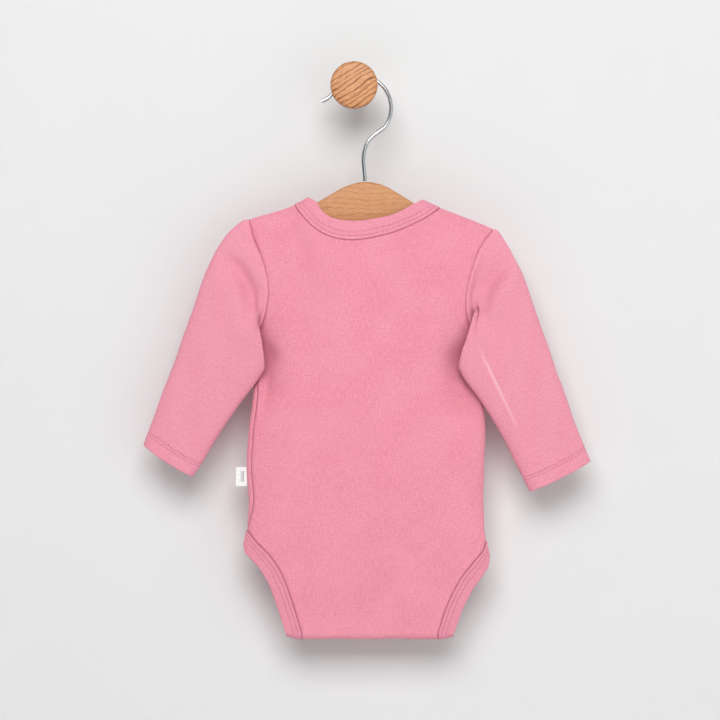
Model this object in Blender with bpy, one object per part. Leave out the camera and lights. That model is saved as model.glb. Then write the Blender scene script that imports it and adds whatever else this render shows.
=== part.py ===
"""Long-sleeved baby bodysuit on a small wooden hanger, hung by its wire hook from a turned wall peg.

The frame: +Z up, the wall is the plane Y = 0 and the room is at -Y. The garment hangs in the plane
Y = HANG_Y with its back towards the room. The origin is the centre of the peg's back face.
Sizes in this script are in millimetres, and every mesh is written in metres.
"""

import math

import bmesh
import bpy
import numpy as np
from mathutils import Matrix, Vector

MM = 0.001

# ---- driving sizes, in millimetres -------------------------------------------------------------
CLOTH = 1.2  # thickness of the knitted cloth
BAND = 2.2  # thickness of a folded binding, and of the turned cuff hems
SEAM_GAP = 0.4  # gap between two pieces at their seam
PANEL_PULL = 0.28  # how far the panels' borders are drawn in from their seams
BINDING_PULL = 0.6  # how far a leg binding is drawn in from its seam
HANG_Y = -42.0  # plane in which the hanger and the garment hang

SHOULDER_ROUND = 8.0  # how quickly the cloth falls away from the shoulder line
FOLD_TOP_Z = -475.0  # where the crotch starts to turn under
FLAT_FROM_Z = -450.0  # where the cloth between the legs starts to flatten towards the turn
FOLD_RADIUS = 5.5  # radius of the turn under the crotch
FLAP = 20.0  # length of the back panel's flap on the front side
FLAP_STEP = 2.8  # how far the front panel lies inside the flap
FLAP_STEP_START_Z, FLAP_STEP_END_Z = -440.0, -455.0  # heights between which it takes that step
FRONT_SHARE = 0.96  # how far down the leg openings the front panel reaches
LIFT_FLATTENING = 0.8  # how much of a sleeve's wall side goes flat where its inner edge is lifted
FULL_LIFT = 6.0  # lift from which the whole of that share goes flat
BINDING_WIDTH = 13.5  # width of the leg bindings at the crotch
FRONT_LEG_SCOOP = 5.0  # how much further the front leg opening is cut in
FRONT_NECK_DROP = 58.0  # depth of the front neckline below its ends
FRONT_BAND_WIDTH = 14.0  # width of the neck binding at the front
END_RISE = 6.0  # how much higher the binding's free edge ends than its seam does
NECK_ROUNDNESS = 0.75  # power of the front neckline's curve: 1 is a sine, and less is squarer
NECK_FADE = 0.75  # how far down a panel its rows still follow the neckline
HEM = 9.75  # depth of the turned cuff hem at its inner edge
HEM_STEP = 0.04  # length of the step up to the hem, as a share of the sleeve's last section

LABEL_WIDTH, LABEL_HEIGHT, LABEL_THICK = 9.0, 16.5, 1.0
LABEL_TOP_Z = -331.5
SNAP_RADIUS, SNAP_TOP_RADIUS, SNAP_HEIGHT, SNAP_PITCH = 4.5, 3.6, 1.6, 32.0

PEG_STEM_RADIUS, PEG_HEAD_RADIUS = 6.5, 20.5
PEG_HEAD_BACK, PEG_HEAD_FACE, PEG_RIM_ROUND, PEG_DOME = 46.0, 59.0, 3.5, 1.2
WIRE_RADIUS = 1.75
HOOK_X, HOOK_Z, HOOK_RADIUS = 3.9, -19.1, 28.3  # the round part of the hook
HOOK_ARC_START, HOOK_ARC_END = -34.0, 118.0  # its ends, in degrees
HANGER_THICK, HANGER_ROUND = 8.0, 2.8

# ---- grid steps ----------------------------------------------------------------------------------
ARM_STEPS, SIDE_STEPS, LEG_STEPS = 10, 8, 7
SHOULDER_STEPS, NECK_STEPS = 3, 10
FOLD_STEPS, FLAP_STEPS = 4, 2
BINDING_COLUMNS = 3
PEG_SIDES, RIM_STEPS, SNAP_SIDES = 40, 3, 20
WIRE_POINTS, ARC_POINTS, HANGER_POINTS = 48, 22, 24
SHARP_DEGREES = 50  # edges that turn more than this look sharp
TURN_STEP, HEIGHT_STEP = 0.001, 0.02  # small steps used to find the direction of a surface


def table(columns, *rows):
    """A short table as a dictionary of columns."""
    return dict(zip(columns.split(), np.array(rows, float).T))


# Sides of the hanging torso, its half depth, and how far round the side seams sit, by height.
TORSO = table(
    "z left right depth seam_turn",
    (-95, -99.0, 133.0, 8.6, 0.00),
    (-120, -96.5, 127.5, 9.2, 0.00),
    (-142, -92.5, 121.5, 10.0, 0.00),
    (-180, -88.5, 115.0, 11.2, 0.00),
    (-210, -86.5, 112.4, 11.8, 0.00),
    (-235, -86.0, 111.8, 12.0, 0.00),
    (-262, -86.3, 113.4, 12.0, 0.22),
    (-300, -91.0, 113.5, 12.0, 0.27),
    (-330, -92.8, 112.5, 12.0, 0.27),
    (-368, -91.0, 112.2, 11.2, 0.24),
    (-386, -92.5, 112.8, 10.6, 0.06),
    (-397, -95.4, 115.0, 10.0, 0.00),
    (-410, -96.0, 117.4, 9.2, 0.00),
    (-440, -94.0, 117.0, 7.2, 0.00),
    (-466, -93.0, 115.0, 5.6, 0.00),
    (-490, -92.0, 113.0, 5.5, 0.00),
)
# Line on which the cloth lies over the hanger, and passes above the neck opening.
SHOULDER = table(
    "x z",
    (-99.0, -119.5),
    (-91.4, -116.6),
    (-51.3, -103.8),
    (-39.2, -97.4),
    (-20.0, -91.0),
    (10.0, -88.0),
    (40.0, -91.0),
    (58.8, -99.4),
    (74.4, -106.4),
    (98.0, -115.4),
    (120.9, -124.8),
    (133.0, -131.0),
)
ARMHOLE_LEFT = table(
    "z x",
    (-116.6, -91.4),
    (-134.5, -86.1),
    (-150.0, -79.8),
    (-165.0, -75.8),
    (-180.0, -74.4),
    (-195.0, -76.2),
    (-208.0, -80.2),
    (-219.0, -86.1),
)
ARMHOLE_RIGHT = table(
    "z x",
    (-124.8, 120.9),
    (-141.8, 108.9),
    (-160.0, 102.5),
    (-177.5, 98.3),
    (-190.0, 97.2),
    (-204.0, 99.2),
    (-214.0, 103.6),
    (-224.0, 112.0),
)
# Leg openings on the back, from the hip down to the crotch: the seam and the band's free edge.
OPENING_COLUMNS = "share seam_x seam_z edge_x edge_z"
LEG_LEFT = table(
    OPENING_COLUMNS,
    (0.00, -92.5, -386.0, -95.7, -399.5),
    (0.08, -89.3, -391.0, -94.6, -405.8),
    (0.20, -82.9, -398.6, -89.6, -411.6),
    (0.34, -73.6, -408.0, -82.6, -419.0),
    (0.50, -64.8, -420.5, -75.8, -430.0),
    (0.66, -58.8, -434.0, -71.2, -440.5),
    (0.82, -53.0, -451.0, -66.0, -455.5),
    (1.00, -45.6, -475.0, -59.1, -476.5),
)
LEG_RIGHT = table(
    OPENING_COLUMNS,
    (0.00, 114.6, -396.0, 117.4, -409.5),
    (0.08, 112.4, -403.5, 117.0, -416.5),
    (0.20, 106.6, -410.8, 113.8, -423.0),
    (0.34, 99.6, -419.4, 109.2, -429.6),
    (0.50, 92.6, -428.6, 104.2, -436.4),
    (0.66, 86.2, -440.2, 98.6, -446.6),
    (0.82, 80.2, -453.5, 93.2, -458.2),
    (1.00, 73.2, -475.0, 86.7, -477.0),
)
# Back neckline, from the left shoulder to the right one: the seam and the band's free edge.
NECK = table(
    OPENING_COLUMNS,
    (0.00, -51.3, -103.8, -39.2, -97.4),
    (0.06, -46.5, -110.6, -33.6, -100.4),
    (0.16, -36.0, -121.9, -26.5, -110.2),
    (0.28, -22.0, -130.4, -15.5, -115.8),
    (0.42, -4.0, -133.9, -0.5, -117.5),
    (0.60, 19.5, -131.1, 19.0, -115.3),
    (0.78, 43.5, -123.7, 37.0, -110.7),
    (0.92, 64.0, -113.4, 51.5, -103.0),
    (1.00, 74.4, -106.4, 58.8, -99.4),
)
# Each row is one section of a sleeve after the armhole: where its outer and inner edges are, how far it
# bows towards the body, its depth towards the room and the wall, how far its inner edge is lifted to the
# room, and how far its wall side is tucked out round the underarm.
SLEEVE_COLUMNS = "outer_x outer_z inner_x inner_z bow back_depth front_depth lift tuck"
SLEEVE_LEFT = table(
    SLEEVE_COLUMNS,
    (-100.0, -120.3, -90.5, -221.0, 17.0, 6.5, 7.0, 1.0, 5.0),
    (-110.5, -130.3, -86.0, -232.0, 13.0, 7.6, 7.5, 6.0, 9.0),
    (-120.3, -144.6, -77.6, -242.5, 8.0, 8.5, 7.5, 7.5, 9.0),
    (-129.6, -165.3, -82.0, -253.0, 5.0, 8.5, 7.5, 6.5, 4.0),
    (-139.4, -193.6, -94.8, -269.7, 3.0, 8.0, 7.5, 4.5, 0.0),
    (-150.8, -226.0, -107.6, -287.8, 2.0, 7.6, 7.2, 3.0, 0.0),
    (-162.4, -257.4, -119.6, -305.8, 1.0, 7.2, 6.8, 2.0, 0.0),
    (-173.4, -286.6, -131.0, -325.2, 0.0, 6.8, 6.4, 1.0, 0.0),
    (-182.7, -313.0, -141.2, -339.8, -1.5, 6.2, 5.8, 0.0, 0.0),
)
SLEEVE_RIGHT = table(
    SLEEVE_COLUMNS,
    (127.4, -130.0, 118.0, -226.0, 19.0, 6.5, 7.0, 1.0, 9.0),
    (134.6, -141.0, 108.5, -234.0, 14.0, 7.6, 7.5, 7.0, 13.0),
    (141.6, -154.2, 91.8, -240.0, 8.0, 8.5, 7.5, 9.5, 18.0),
    (148.9, -170.5, 94.8, -252.5, 5.0, 8.5, 7.5, 8.5, 9.0),
    (156.8, -193.6, 108.4, -271.0, 3.0, 8.0, 7.5, 6.0, 0.0),
    (168.0, -226.0, 120.6, -290.0, 2.0, 7.6, 7.2, 4.0, 0.0),
    (179.6, -259.0, 131.8, -310.0, 1.0, 7.2, 6.8, 2.5, 0.0),
    (191.4, -292.0, 142.6, -331.4, 0.0, 6.8, 6.4, 1.0, 0.0),
    (205.0, -327.0, 153.6, -352.6, -1.5, 6.2, 5.8, 0.0, 0.0),
)
# Hollows pressed into the back panel beside the underarm folds.
PINCHES = table(
    "x z half_width half_height share",
    (-84.0, -246.0, 17.0, 34.0, 0.72),
    (99.0, -246.0, 21.0, 38.0, 0.70),
)
# Largest folds of the sleeves: a line, with the height towards the room (a trough is below zero) and
# half width.
FOLDS = table(
    "from_x from_z to_x to_z height half_width",
    (-106.0, -143.0, -84.0, -186.0, -1.8, 8.0),
    (134.0, -156.0, 112.0, -196.0, -2.4, 8.0),
)
HANGER = table(
    "x top bottom",
    (-76.0, -119.0, -126.0),
    (-51.0, -110.5, -125.0),
    (-33.0, -101.8, -124.0),
    (-20.9, -94.8, -123.2),
    (-7.8, -87.6, -122.8),
    (9.6, -83.5, -122.5),
    (27.0, -87.0, -122.8),
    (40.0, -94.5, -123.5),
    (53.0, -102.5, -125.0),
    (74.0, -113.0, -128.0),
    (104.0, -125.0, -132.0),
)
# Bent wire below the round part of the hook, and past its top.
HOOK_NECK = table("x z", (9.4, -82.9), (9.4, -55.0), (12.2, -48.4), (18.4, -42.0))
HOOK_TIP = table("x z", (-15.6, -0.6), (-18.6, -6.6), (-22.6, -10.6), (-28.0, -13.2))


# ---- curves --------------------------------------------------------------------------------------
def smooth(knots, values, at):
    """Values on a smooth curve through a table's rows. Values may be numbers or points."""
    knots, values = np.asarray(knots, float), np.asarray(values, float)
    if knots[0] > knots[-1]:
        knots, values = knots[::-1], values[::-1]
    slopes = np.gradient(values, knots, axis=0)
    at = np.clip(np.asarray(at, float), knots[0], knots[-1])
    below = np.clip(np.searchsorted(knots, at) - 1, 0, len(knots) - 2)
    gap = knots[below + 1] - knots[below]
    share = (at - knots[below]) / gap
    if values.ndim > 1:
        extra = (1,) * (values.ndim - 1)
        gap, share = gap.reshape(gap.shape + extra), share.reshape(share.shape + extra)
    rest = 1 - share
    return (
        (1 + 2 * share) * rest**2 * values[below]
        + share * rest**2 * gap * slopes[below]
        + share**2 * (3 - 2 * share) * values[below + 1]
        - share**2 * rest * gap * slopes[below + 1]
    )


def ease(low, high, value):
    """0 below low, 1 above high, and a soft step between them."""
    share = np.clip((value - low) / (high - low), 0, 1)
    return share**2 * (3 - 2 * share)


def eased_steps(count):
    """Shares from 0 to 1 that lie closer together at both ends."""
    return (1 - np.cos(np.linspace(0, math.pi, count + 1))) / 2


def mix(first, second, share):
    return first + (second - first) * share


def unit(vectors):
    return vectors / np.maximum(np.linalg.norm(vectors, axis=-1, keepdims=True), 1e-9)


def normals_of(surface, first, second, step_first, step_second):
    """Unit normals of a surface given as a function of two parameters."""
    along_first = surface(first + step_first, second) - surface(first - step_first, second)
    along_second = surface(first, second + step_second) - surface(first, second - step_second)
    return unit(np.cross(along_first, along_second))


# ---- torso ---------------------------------------------------------------------------------------
def torso_side(z):
    """Centre and half width of the torso at a height."""
    left, right = (smooth(TORSO["z"], TORSO[side], z) for side in ("left", "right"))
    return (left + right) / 2, (right - left) / 2


def torso_point(turn, z):
    """Middle of the torso's cloth. turn is 0 at the right side, pi / 2 at the middle of the back, pi at the
    left side and 3 pi / 2 at the middle of the front."""
    centre, half = torso_side(z)
    x = centre + half * np.cos(turn)
    below = np.maximum(smooth(SHOULDER["x"], SHOULDER["z"], x) - z, 0)
    round_side = np.sin(turn) * np.sqrt(1 + np.cos(turn) ** 2)
    crotch = ease(FLAT_FROM_Z, FOLD_TOP_Z, z)
    round_side = mix(round_side, np.sign(np.sin(turn)), crotch * (np.abs(np.cos(turn)) < 0.8))
    near_shoulder = np.sqrt(1 - np.exp(-below / SHOULDER_ROUND))
    depth = smooth(TORSO["z"], TORSO["depth"], z) * round_side * near_shoulder
    pressed = sum(
        share * np.exp(-(((x - at_x) / width) ** 2) - ((z - at_z) / height) ** 2)
        for at_x, at_z, width, height, share in zip(*PINCHES.values())
    )
    inside_flap = FLAP_STEP * ease(FLAP_STEP_START_Z, FLAP_STEP_END_Z, z)
    depth = np.where(depth > 0, depth * (1 - pressed), np.minimum(depth + inside_flap, 0))
    return np.stack([x, HANG_Y - depth, z + 0 * x], axis=-1)


def torso_normal(turn, z):
    return -normals_of(torso_point, turn, z, TURN_STEP, HEIGHT_STEP)


def turn_of(x, z, front):
    """The torso's turn at a place on its back or its front."""
    centre, half = torso_side(z)
    turn = np.arccos(np.clip((x - centre) / half, -1, 1))
    return 2 * math.pi - turn if front else turn


def neck_line(front, part):
    """x and z along the neckline from left to right: part is seam or edge."""
    share = eased_steps(NECK_STEPS)
    if not front:
        return tuple(smooth(NECK["share"], NECK[f"{part}_{axis}"], share) for axis in "xz")
    ends = [(NECK[f"{part}_x"][i], NECK[f"{part}_z"][i]) for i in (0, -1)]
    drop = FRONT_NECK_DROP - (FRONT_BAND_WIDTH + END_RISE if part == "edge" else 0.0)
    x = mix(ends[0][0], ends[1][0], share)
    z = mix(ends[0][1], ends[1][1], share) - drop * np.sin(math.pi * share) ** NECK_ROUNDNESS
    return x, z


def leg_line(leg, front, part):
    """x and z along a leg opening from the hip down to the crotch: part is seam or edge."""
    even = np.linspace(0, 1, LEG_STEPS + 1)
    share = even * (FRONT_SHARE if front else 1.0)
    x, z = (smooth(leg["share"], leg[f"{part}_{axis}"], share) for axis in "xz")
    scoop = FRONT_LEG_SCOOP * np.sin(math.pi * even) * front
    return x - math.copysign(1.0, leg["seam_x"][0]) * scoop, z


def panel_sides(front):
    """Left and right borders of a torso panel as (turn, z), from the shoulder down to the crotch."""
    borders = []
    for armhole, leg, is_left in ((ARMHOLE_LEFT, LEG_LEFT, True), (ARMHOLE_RIGHT, LEG_RIGHT, False)):
        arm_z = mix(armhole["z"][0], armhole["z"][-1], eased_steps(ARM_STEPS))
        arm_turn = turn_of(smooth(armhole["z"], armhole["x"], arm_z), arm_z, front)
        side_z = np.linspace(arm_z[-1], leg["seam_z"][0], SIDE_STEPS + 1)[1:-1]
        shift = smooth(TORSO["z"], TORSO["seam_turn"], side_z)
        side_turn = (math.pi if is_left else 2 * math.pi * front) - shift
        leg_x, leg_z = leg_line(leg, front, "seam")
        leg_turn = turn_of(leg_x, leg_z, front)
        turn = np.concatenate([arm_turn, side_turn, leg_turn])
        borders.append((turn, np.concatenate([arm_z, side_z, leg_z])))
    return borders


def panel_grid(front):
    """turn and z of a torso panel's grid: rows run across it, from the shoulders to the crotch."""
    (left_turn, left_z), (right_turn, right_z) = panel_sides(front)
    neck_x, neck_z = neck_line(front, "seam")
    left_x = mix(ARMHOLE_LEFT["x"][0], neck_x[0], np.linspace(0, 1, SHOULDER_STEPS + 1)[:-1])
    right_x = mix(neck_x[-1], ARMHOLE_RIGHT["x"][0], np.linspace(0, 1, SHOULDER_STEPS + 1)[1:])
    shoulder_z = [smooth(SHOULDER["x"], SHOULDER["z"], x) for x in (left_x, right_x)]
    top_x = np.concatenate([left_x, neck_x, right_x])
    top_z = np.concatenate([shoulder_z[0], neck_z, shoulder_z[1]])
    top_turn = turn_of(top_x, top_z, front)
    across = np.linspace(0, 1, len(top_x))
    down = np.linspace(0, 1, len(left_z))[:, None]
    fade = (1 - ease(0, NECK_FADE, down)) * (1 - down)
    turn = mix(left_turn[:, None], right_turn[:, None], across)
    turn = turn + (top_turn - mix(left_turn[0], right_turn[0], across)) * fade
    z = mix(left_z[:, None], right_z[:, None], across)
    return turn, z + (top_z - mix(left_z[0], right_z[0], across)) * fade


def fold_rows(x):
    """Points and normals where the back panel turns under the crotch and up the front, for places x."""
    half_round = np.linspace(0, math.pi, FOLD_STEPS + 1)[1:]
    rows = [(-math.cos(angle), -math.sin(angle), 0.0) for angle in half_round]
    rows += [(1.0, 0.0, FLAP * k / FLAP_STEPS) for k in range(1, FLAP_STEPS + 1)]
    points, normals = [], []
    for out_y, out_z, up in rows:
        y, z = HANG_Y + FOLD_RADIUS * out_y, FOLD_TOP_Z + FOLD_RADIUS * out_z + up
        points.append(np.stack([x, y + 0 * x, z + 0 * x], axis=-1))
        normals.append(np.stack([0 * x, out_y + 0 * x, out_z + 0 * x], axis=-1))
    return np.array(points), np.array(normals)


def pull_in(points, edges, gap):
    """Moves the named borders of a grid of points inwards, to leave a gap at each seam."""
    moved = points.copy()
    for edge in edges:
        border, inner = {
            "top": ((0, slice(None)), (1, slice(None))),
            "bottom": ((-1, slice(None)), (-2, slice(None))),
            "left": ((slice(None), 0), (slice(None), 1)),
            "right": ((slice(None), -1), (slice(None), -2)),
        }[edge]
        moved[border] = moved[border] + unit(points[inner] - points[border]) * gap
    return moved


# ---- sleeves -------------------------------------------------------------------------------------
def sleeve_rings(sections, armhole, around):
    """Middle points of a sleeve's sections. around is 0 at the outer edge and pi at the inner one: the side
    towards the room comes first."""
    share = (1 - np.cos(around)) / 2
    arm_z = mix(armhole["z"][0], armhole["z"][-1], share)
    turn = turn_of(smooth(armhole["z"], armhole["x"], arm_z), arm_z, False)
    back = torso_point(turn, arm_z)
    front = torso_point(2 * math.pi - turn, arm_z)
    rings = [np.where((np.sin(around) >= 0)[..., None], back, front)]
    rounded = np.sin(around) * np.sqrt(1 + np.cos(around) ** 2)
    side = math.copysign(1.0, armhole["x"][0])
    tucked = ease(0.3, 0.75, share) * (1 - ease(0.86, 1.0, share)) * (rounded < 0)
    for row in zip(*sections.values()):
        outer_x, outer_z, inner_x, inner_z, bow, back_depth, front_depth, lift, tuck = row
        length = math.hypot(inner_x - outer_x, inner_z - outer_z)
        bulge = bow * 4 * share * (1 - share) - tuck * tucked
        lifted = np.where(rounded > 0, ease(0.45, 0.92, share), ease(0.58, 0.82, share))
        x = mix(outer_x, inner_x, share) - side * bulge * abs(inner_z - outer_z) / length
        z = mix(outer_z, inner_z, share) + bulge * abs(inner_x - outer_x) / length
        flattened = 1 - LIFT_FLATTENING * lifted * min(lift / FULL_LIFT, 1)
        depth = rounded * np.where(rounded > 0, back_depth, front_depth * flattened)
        y = HANG_Y - lift * lifted - depth - folds_at(x, z) * np.maximum(np.sin(around), 0)
        rings.append(np.stack([x, y, z], axis=-1))
    return np.array(rings)


def folds_at(x, z):
    """Height of the folds at a place, towards the room."""
    total = 0 * x
    for from_x, from_z, to_x, to_z, height, half_width in zip(*FOLDS.values()):
        length = math.hypot(to_x - from_x, to_z - from_z)
        along = ((x - from_x) * (to_x - from_x) + (z - from_z) * (to_z - from_z)) / length**2
        across = ((x - from_x) * (to_z - from_z) - (z - from_z) * (to_x - from_x)) / length
        taper = ease(-0.25, 0.2, along) * (1 - ease(0.8, 1.25, along))
        total = total + height * taper * np.exp(-((across / half_width) ** 2))
    return total


def sleeve_surface(sections, armhole):
    """A function of the place along a sleeve, in sections from its armhole, and the angle around it."""

    def surface(along, around):
        rings = sleeve_rings(sections, armhole, around[0])
        return smooth(np.arange(len(rings)), rings, along[:, 0])

    return surface


# ---- solids --------------------------------------------------------------------------------------
def material(name, color, roughness, metallic=0.0):
    made = bpy.data.materials.new(name)
    made.use_nodes = True
    shader = made.node_tree.nodes["Principled BSDF"]
    shader.inputs["Base Color"].default_value = (*color, 1.0)
    shader.inputs["Roughness"].default_value = roughness
    shader.inputs["Metallic"].default_value = metallic
    return made


def add_object(name, mesh, finish):
    mesh.materials.append(finish)
    made = bpy.data.objects.new(name, mesh)
    bpy.context.scene.collection.objects.link(made)
    return made


def mesh_of(name, points, faces):
    """A closed mesh in metres with its faces pointing out."""
    shape = bmesh.new()
    corners = [shape.verts.new(Vector(point) * MM) for point in points]
    for face in faces:
        shape.faces.new([corners[i] for i in face])
    bmesh.ops.recalc_face_normals(shape, faces=shape.faces)
    mesh = bpy.data.meshes.new(name)
    shape.to_mesh(mesh)
    shape.free()
    return mesh


def wall(name, points, normals, thickness, finish, ring=False):
    """A cloth wall round a grid of middle points. A ring joins each row's last point to its first."""
    rows, columns = points.shape[:2]
    half = (normals * np.broadcast_to(np.asarray(thickness, float), (rows,))[:, None, None]) / 2
    corners = np.concatenate([(points + half).reshape(-1, 3), (points - half).reshape(-1, 3)])
    index = np.arange(rows * columns).reshape(rows, columns)
    other = index + rows * columns
    spans = columns if ring else columns - 1
    faces = []
    for row in range(rows - 1):
        for column in range(spans):
            after = (column + 1) % columns
            square = (row, column), (row, after), (row + 1, after), (row + 1, column)
            faces.append([index[place] for place in square])
            faces.append([other[place] for place in reversed(square)])
    closing = [0] if ring else []
    rims = [[(row, column) for column in [*range(columns), *closing]] for row in (0, rows - 1)]
    if not ring:
        rims += [[(row, column) for row in range(rows)] for column in (0, columns - 1)]
    for rim in rims:
        for start, end in zip(rim, rim[1:]):
            faces.append([index[start], index[end], other[end], other[start]])
    made = add_object(name, mesh_of(name, corners, faces), finish)
    made.data.shade_smooth()
    made.data.set_sharp_from_angle(angle=math.radians(SHARP_DEGREES))
    return made


def build_back_panel(finish):
    turn, z = panel_grid(False)
    points, normals = torso_point(turn, z), torso_normal(turn, z)
    flap_points, flap_normals = fold_rows(points[-1, :, 0])
    points = np.concatenate([points, flap_points])
    normals = np.concatenate([normals, flap_normals])
    points = pull_in(points, ("top", "left", "right"), PANEL_PULL)
    wall("back_panel", points, normals, CLOTH, finish)


def build_front_panel(finish):
    turn, z = panel_grid(True)
    points = pull_in(torso_point(turn, z), ("top", "left", "right"), PANEL_PULL)
    wall("front_panel", points, torso_normal(turn, z), CLOTH, finish)


def build_sleeve(name, sections, armhole, finish):
    last = len(sections["bow"])
    end = [sections[f"inner_{axis}"][-1] - sections[f"inner_{axis}"][-2] for axis in "xz"]
    end_length = math.hypot(*end)
    hem_start = last - HEM / end_length
    along = np.concatenate([np.arange(last), [hem_start, hem_start + HEM_STEP, last]])[:, None]
    around = np.linspace(0, 2 * math.pi, 2 * ARM_STEPS + 1)[:-1][None, :]
    surface = sleeve_surface(sections, armhole)
    points = surface(along, around)
    normals = normals_of(surface, along, around, TURN_STEP, TURN_STEP)
    outwards = np.sign(np.sum(normals * (points - points.mean(axis=1, keepdims=True))))
    normals = normals * outwards
    seam = points[0]
    arm_z = seam[:, 2]
    turn = turn_of(smooth(armhole["z"], armhole["x"], arm_z), arm_z, False)
    turn = np.where(np.sin(around[0]) >= 0, turn, 2 * math.pi - turn)
    normals[0] = torso_normal(turn, arm_z)
    points = pull_in(points, ("top",), SEAM_GAP / 2)
    thickness = np.where(along[:, 0] > hem_start, BAND, CLOTH)
    wall(name, points, normals, thickness, finish, ring=True)


def build_neck_binding(finish):
    loops = []
    for front in (False, True):
        seam_x, seam_z = neck_line(front, "seam")
        edge_x, edge_z = neck_line(front, "edge")
        rows = []
        for share in np.linspace(0, 1, BINDING_COLUMNS):
            x, z = mix(seam_x, edge_x, share), mix(seam_z, edge_z, share)
            z = np.minimum(z, smooth(SHOULDER["x"], SHOULDER["z"], x))
            turn = turn_of(x, z, front)
            rows.append((torso_point(turn, z), torso_normal(turn, z)))
        part = slice(None) if not front else slice(-2, 0, -1)
        loops.append([np.array([row[k] for row in rows])[:, part] for k in (0, 1)])
    points, normals = (np.concatenate([loops[0][k], loops[1][k]], axis=1) for k in (0, 1))
    points = pull_in(points, ("top",), SEAM_GAP)
    wall("neck_binding", points, normals, BAND, finish, ring=True)


def build_leg_binding(name, leg, finish):
    outwards = math.copysign(1.0, leg["seam_x"][0])
    strips = []
    for share in np.linspace(0, 1, BINDING_COLUMNS):
        halves = []
        for front in (False, True):
            seam, edge = (np.array(leg_line(leg, front, part)) for part in ("seam", "edge"))
            x, z = mix(seam, edge, share)
            turn = turn_of(x, z, front)
            halves.append((torso_point(turn, z), torso_normal(turn, z)))
        flap = fold_rows(leg["seam_x"][-1:] + outwards * BINDING_WIDTH * share)
        back, front = halves
        strips.append([np.concatenate([flap[k][::-1, 0], back[k][::-1], front[k][1:]]) for k in (0, 1)])
    points, normals = (np.stack([strip[k] for strip in strips], axis=1) for k in (0, 1))
    points = pull_in(points, ("left",), BINDING_PULL)
    wall(name, points, normals, BAND, finish)


def box_mesh(name, low, high):
    corners = [(x, y, z) for x in (low[0], high[0]) for y in (low[1], high[1]) for z in (low[2], high[2])]
    faces = [(0, 1, 3, 2), (4, 6, 7, 5), (0, 4, 5, 1), (2, 3, 7, 6), (0, 2, 6, 4), (1, 5, 7, 3)]
    return mesh_of(name, corners, faces)


def build_label(finish):
    """A folded label that stands out of the left side seam."""
    bottom = LABEL_TOP_Z - LABEL_HEIGHT
    edge = min(smooth(TORSO["z"], TORSO["left"], z) for z in (LABEL_TOP_Z, bottom)) - CLOTH / 2 - SEAM_GAP
    y = HANG_Y - LABEL_THICK / 2
    low, high = (edge - LABEL_WIDTH, y, bottom), (edge, y + LABEL_THICK, LABEL_TOP_Z)
    add_object("side_label", box_mesh("side_label", low, high), finish)


def build_snaps(finish):
    """Round caps of the press studs on the flap, facing the wall."""
    middle = (LEG_LEFT["seam_x"][-1] + LEG_RIGHT["seam_x"][-1]) / 2
    y = HANG_Y + FOLD_RADIUS + CLOTH / 2 + SEAM_GAP / 2 + SNAP_HEIGHT / 2
    for number in (1, 2, 3):
        shape = bmesh.new()
        place = Vector((middle + (number - 2) * SNAP_PITCH, y, FOLD_TOP_Z + FLAP / 2)) * MM
        bmesh.ops.create_cone(
            shape,
            cap_ends=True,
            segments=SNAP_SIDES,
            radius1=SNAP_RADIUS * MM,
            radius2=SNAP_TOP_RADIUS * MM,
            depth=SNAP_HEIGHT * MM,
            matrix=Matrix.Translation(place) @ Matrix.Rotation(-math.pi / 2, 4, "X"),
        )
        mesh = bpy.data.meshes.new(f"snap_{number}")
        shape.to_mesh(mesh)
        shape.free()
        add_object(f"snap_{number}", mesh, finish)


def build_hanger(finish):
    """A flat wooden arch with rounded edges."""
    x = mix(HANGER["x"][0], HANGER["x"][-1], eased_steps(HANGER_POINTS))
    top = smooth(HANGER["x"], HANGER["top"], x)
    bottom = smooth(HANGER["x"], HANGER["bottom"], x)
    outline = list(zip(x, top)) + list(zip(x[::-1], bottom[::-1]))
    shape = bmesh.new()
    face = shape.faces.new(
        [shape.verts.new(Vector((x, HANG_Y - HANGER_THICK / 2, z)) * MM) for x, z in outline]
    )
    made = bmesh.ops.extrude_face_region(shape, geom=[face])
    moved = [item for item in made["geom"] if isinstance(item, bmesh.types.BMVert)]
    bmesh.ops.translate(shape, verts=moved, vec=(0, HANGER_THICK * MM, 0))
    bmesh.ops.recalc_face_normals(shape, faces=shape.faces)
    mesh = bpy.data.meshes.new("hanger")
    shape.to_mesh(mesh)
    shape.free()
    hanger = add_object("hanger", mesh, finish)
    bevel = hanger.modifiers.new("rounded_edges", "BEVEL")
    bevel.width = HANGER_ROUND * MM
    bevel.segments = 2
    bevel.limit_method = "ANGLE"
    bevel.angle_limit = math.radians(40)


def build_hook(finish):
    """The bent wire: up from the hanger, round over the peg's stem, and out at its tip."""
    angle = np.radians(np.linspace(HOOK_ARC_START, HOOK_ARC_END, ARC_POINTS))
    arc_x, arc_z = HOOK_X + HOOK_RADIUS * np.cos(angle), HOOK_Z + HOOK_RADIUS * np.sin(angle)
    x = np.concatenate([HOOK_NECK["x"], arc_x, HOOK_TIP["x"]])
    z = np.concatenate([HOOK_NECK["z"], arc_z, HOOK_TIP["z"]])
    route = list(zip(x, z))
    places = np.concatenate([[0], np.cumsum([math.dist(a, b) for a, b in zip(route, route[1:])])])
    even = smooth(places, np.array(route), np.linspace(0, places[-1], WIRE_POINTS))
    wire = bpy.data.curves.new("hanger_hook", "CURVE")
    wire.dimensions = "3D"
    line = wire.splines.new("POLY")
    line.points.add(len(even) - 1)
    for point, (x, z) in zip(line.points, even):
        point.co = (x * MM, HANG_Y * MM, z * MM, 1)
    wire.bevel_depth = WIRE_RADIUS * MM
    wire.bevel_resolution = 3
    wire.use_fill_caps = True
    add_object("hanger_hook", wire, finish)


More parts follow.
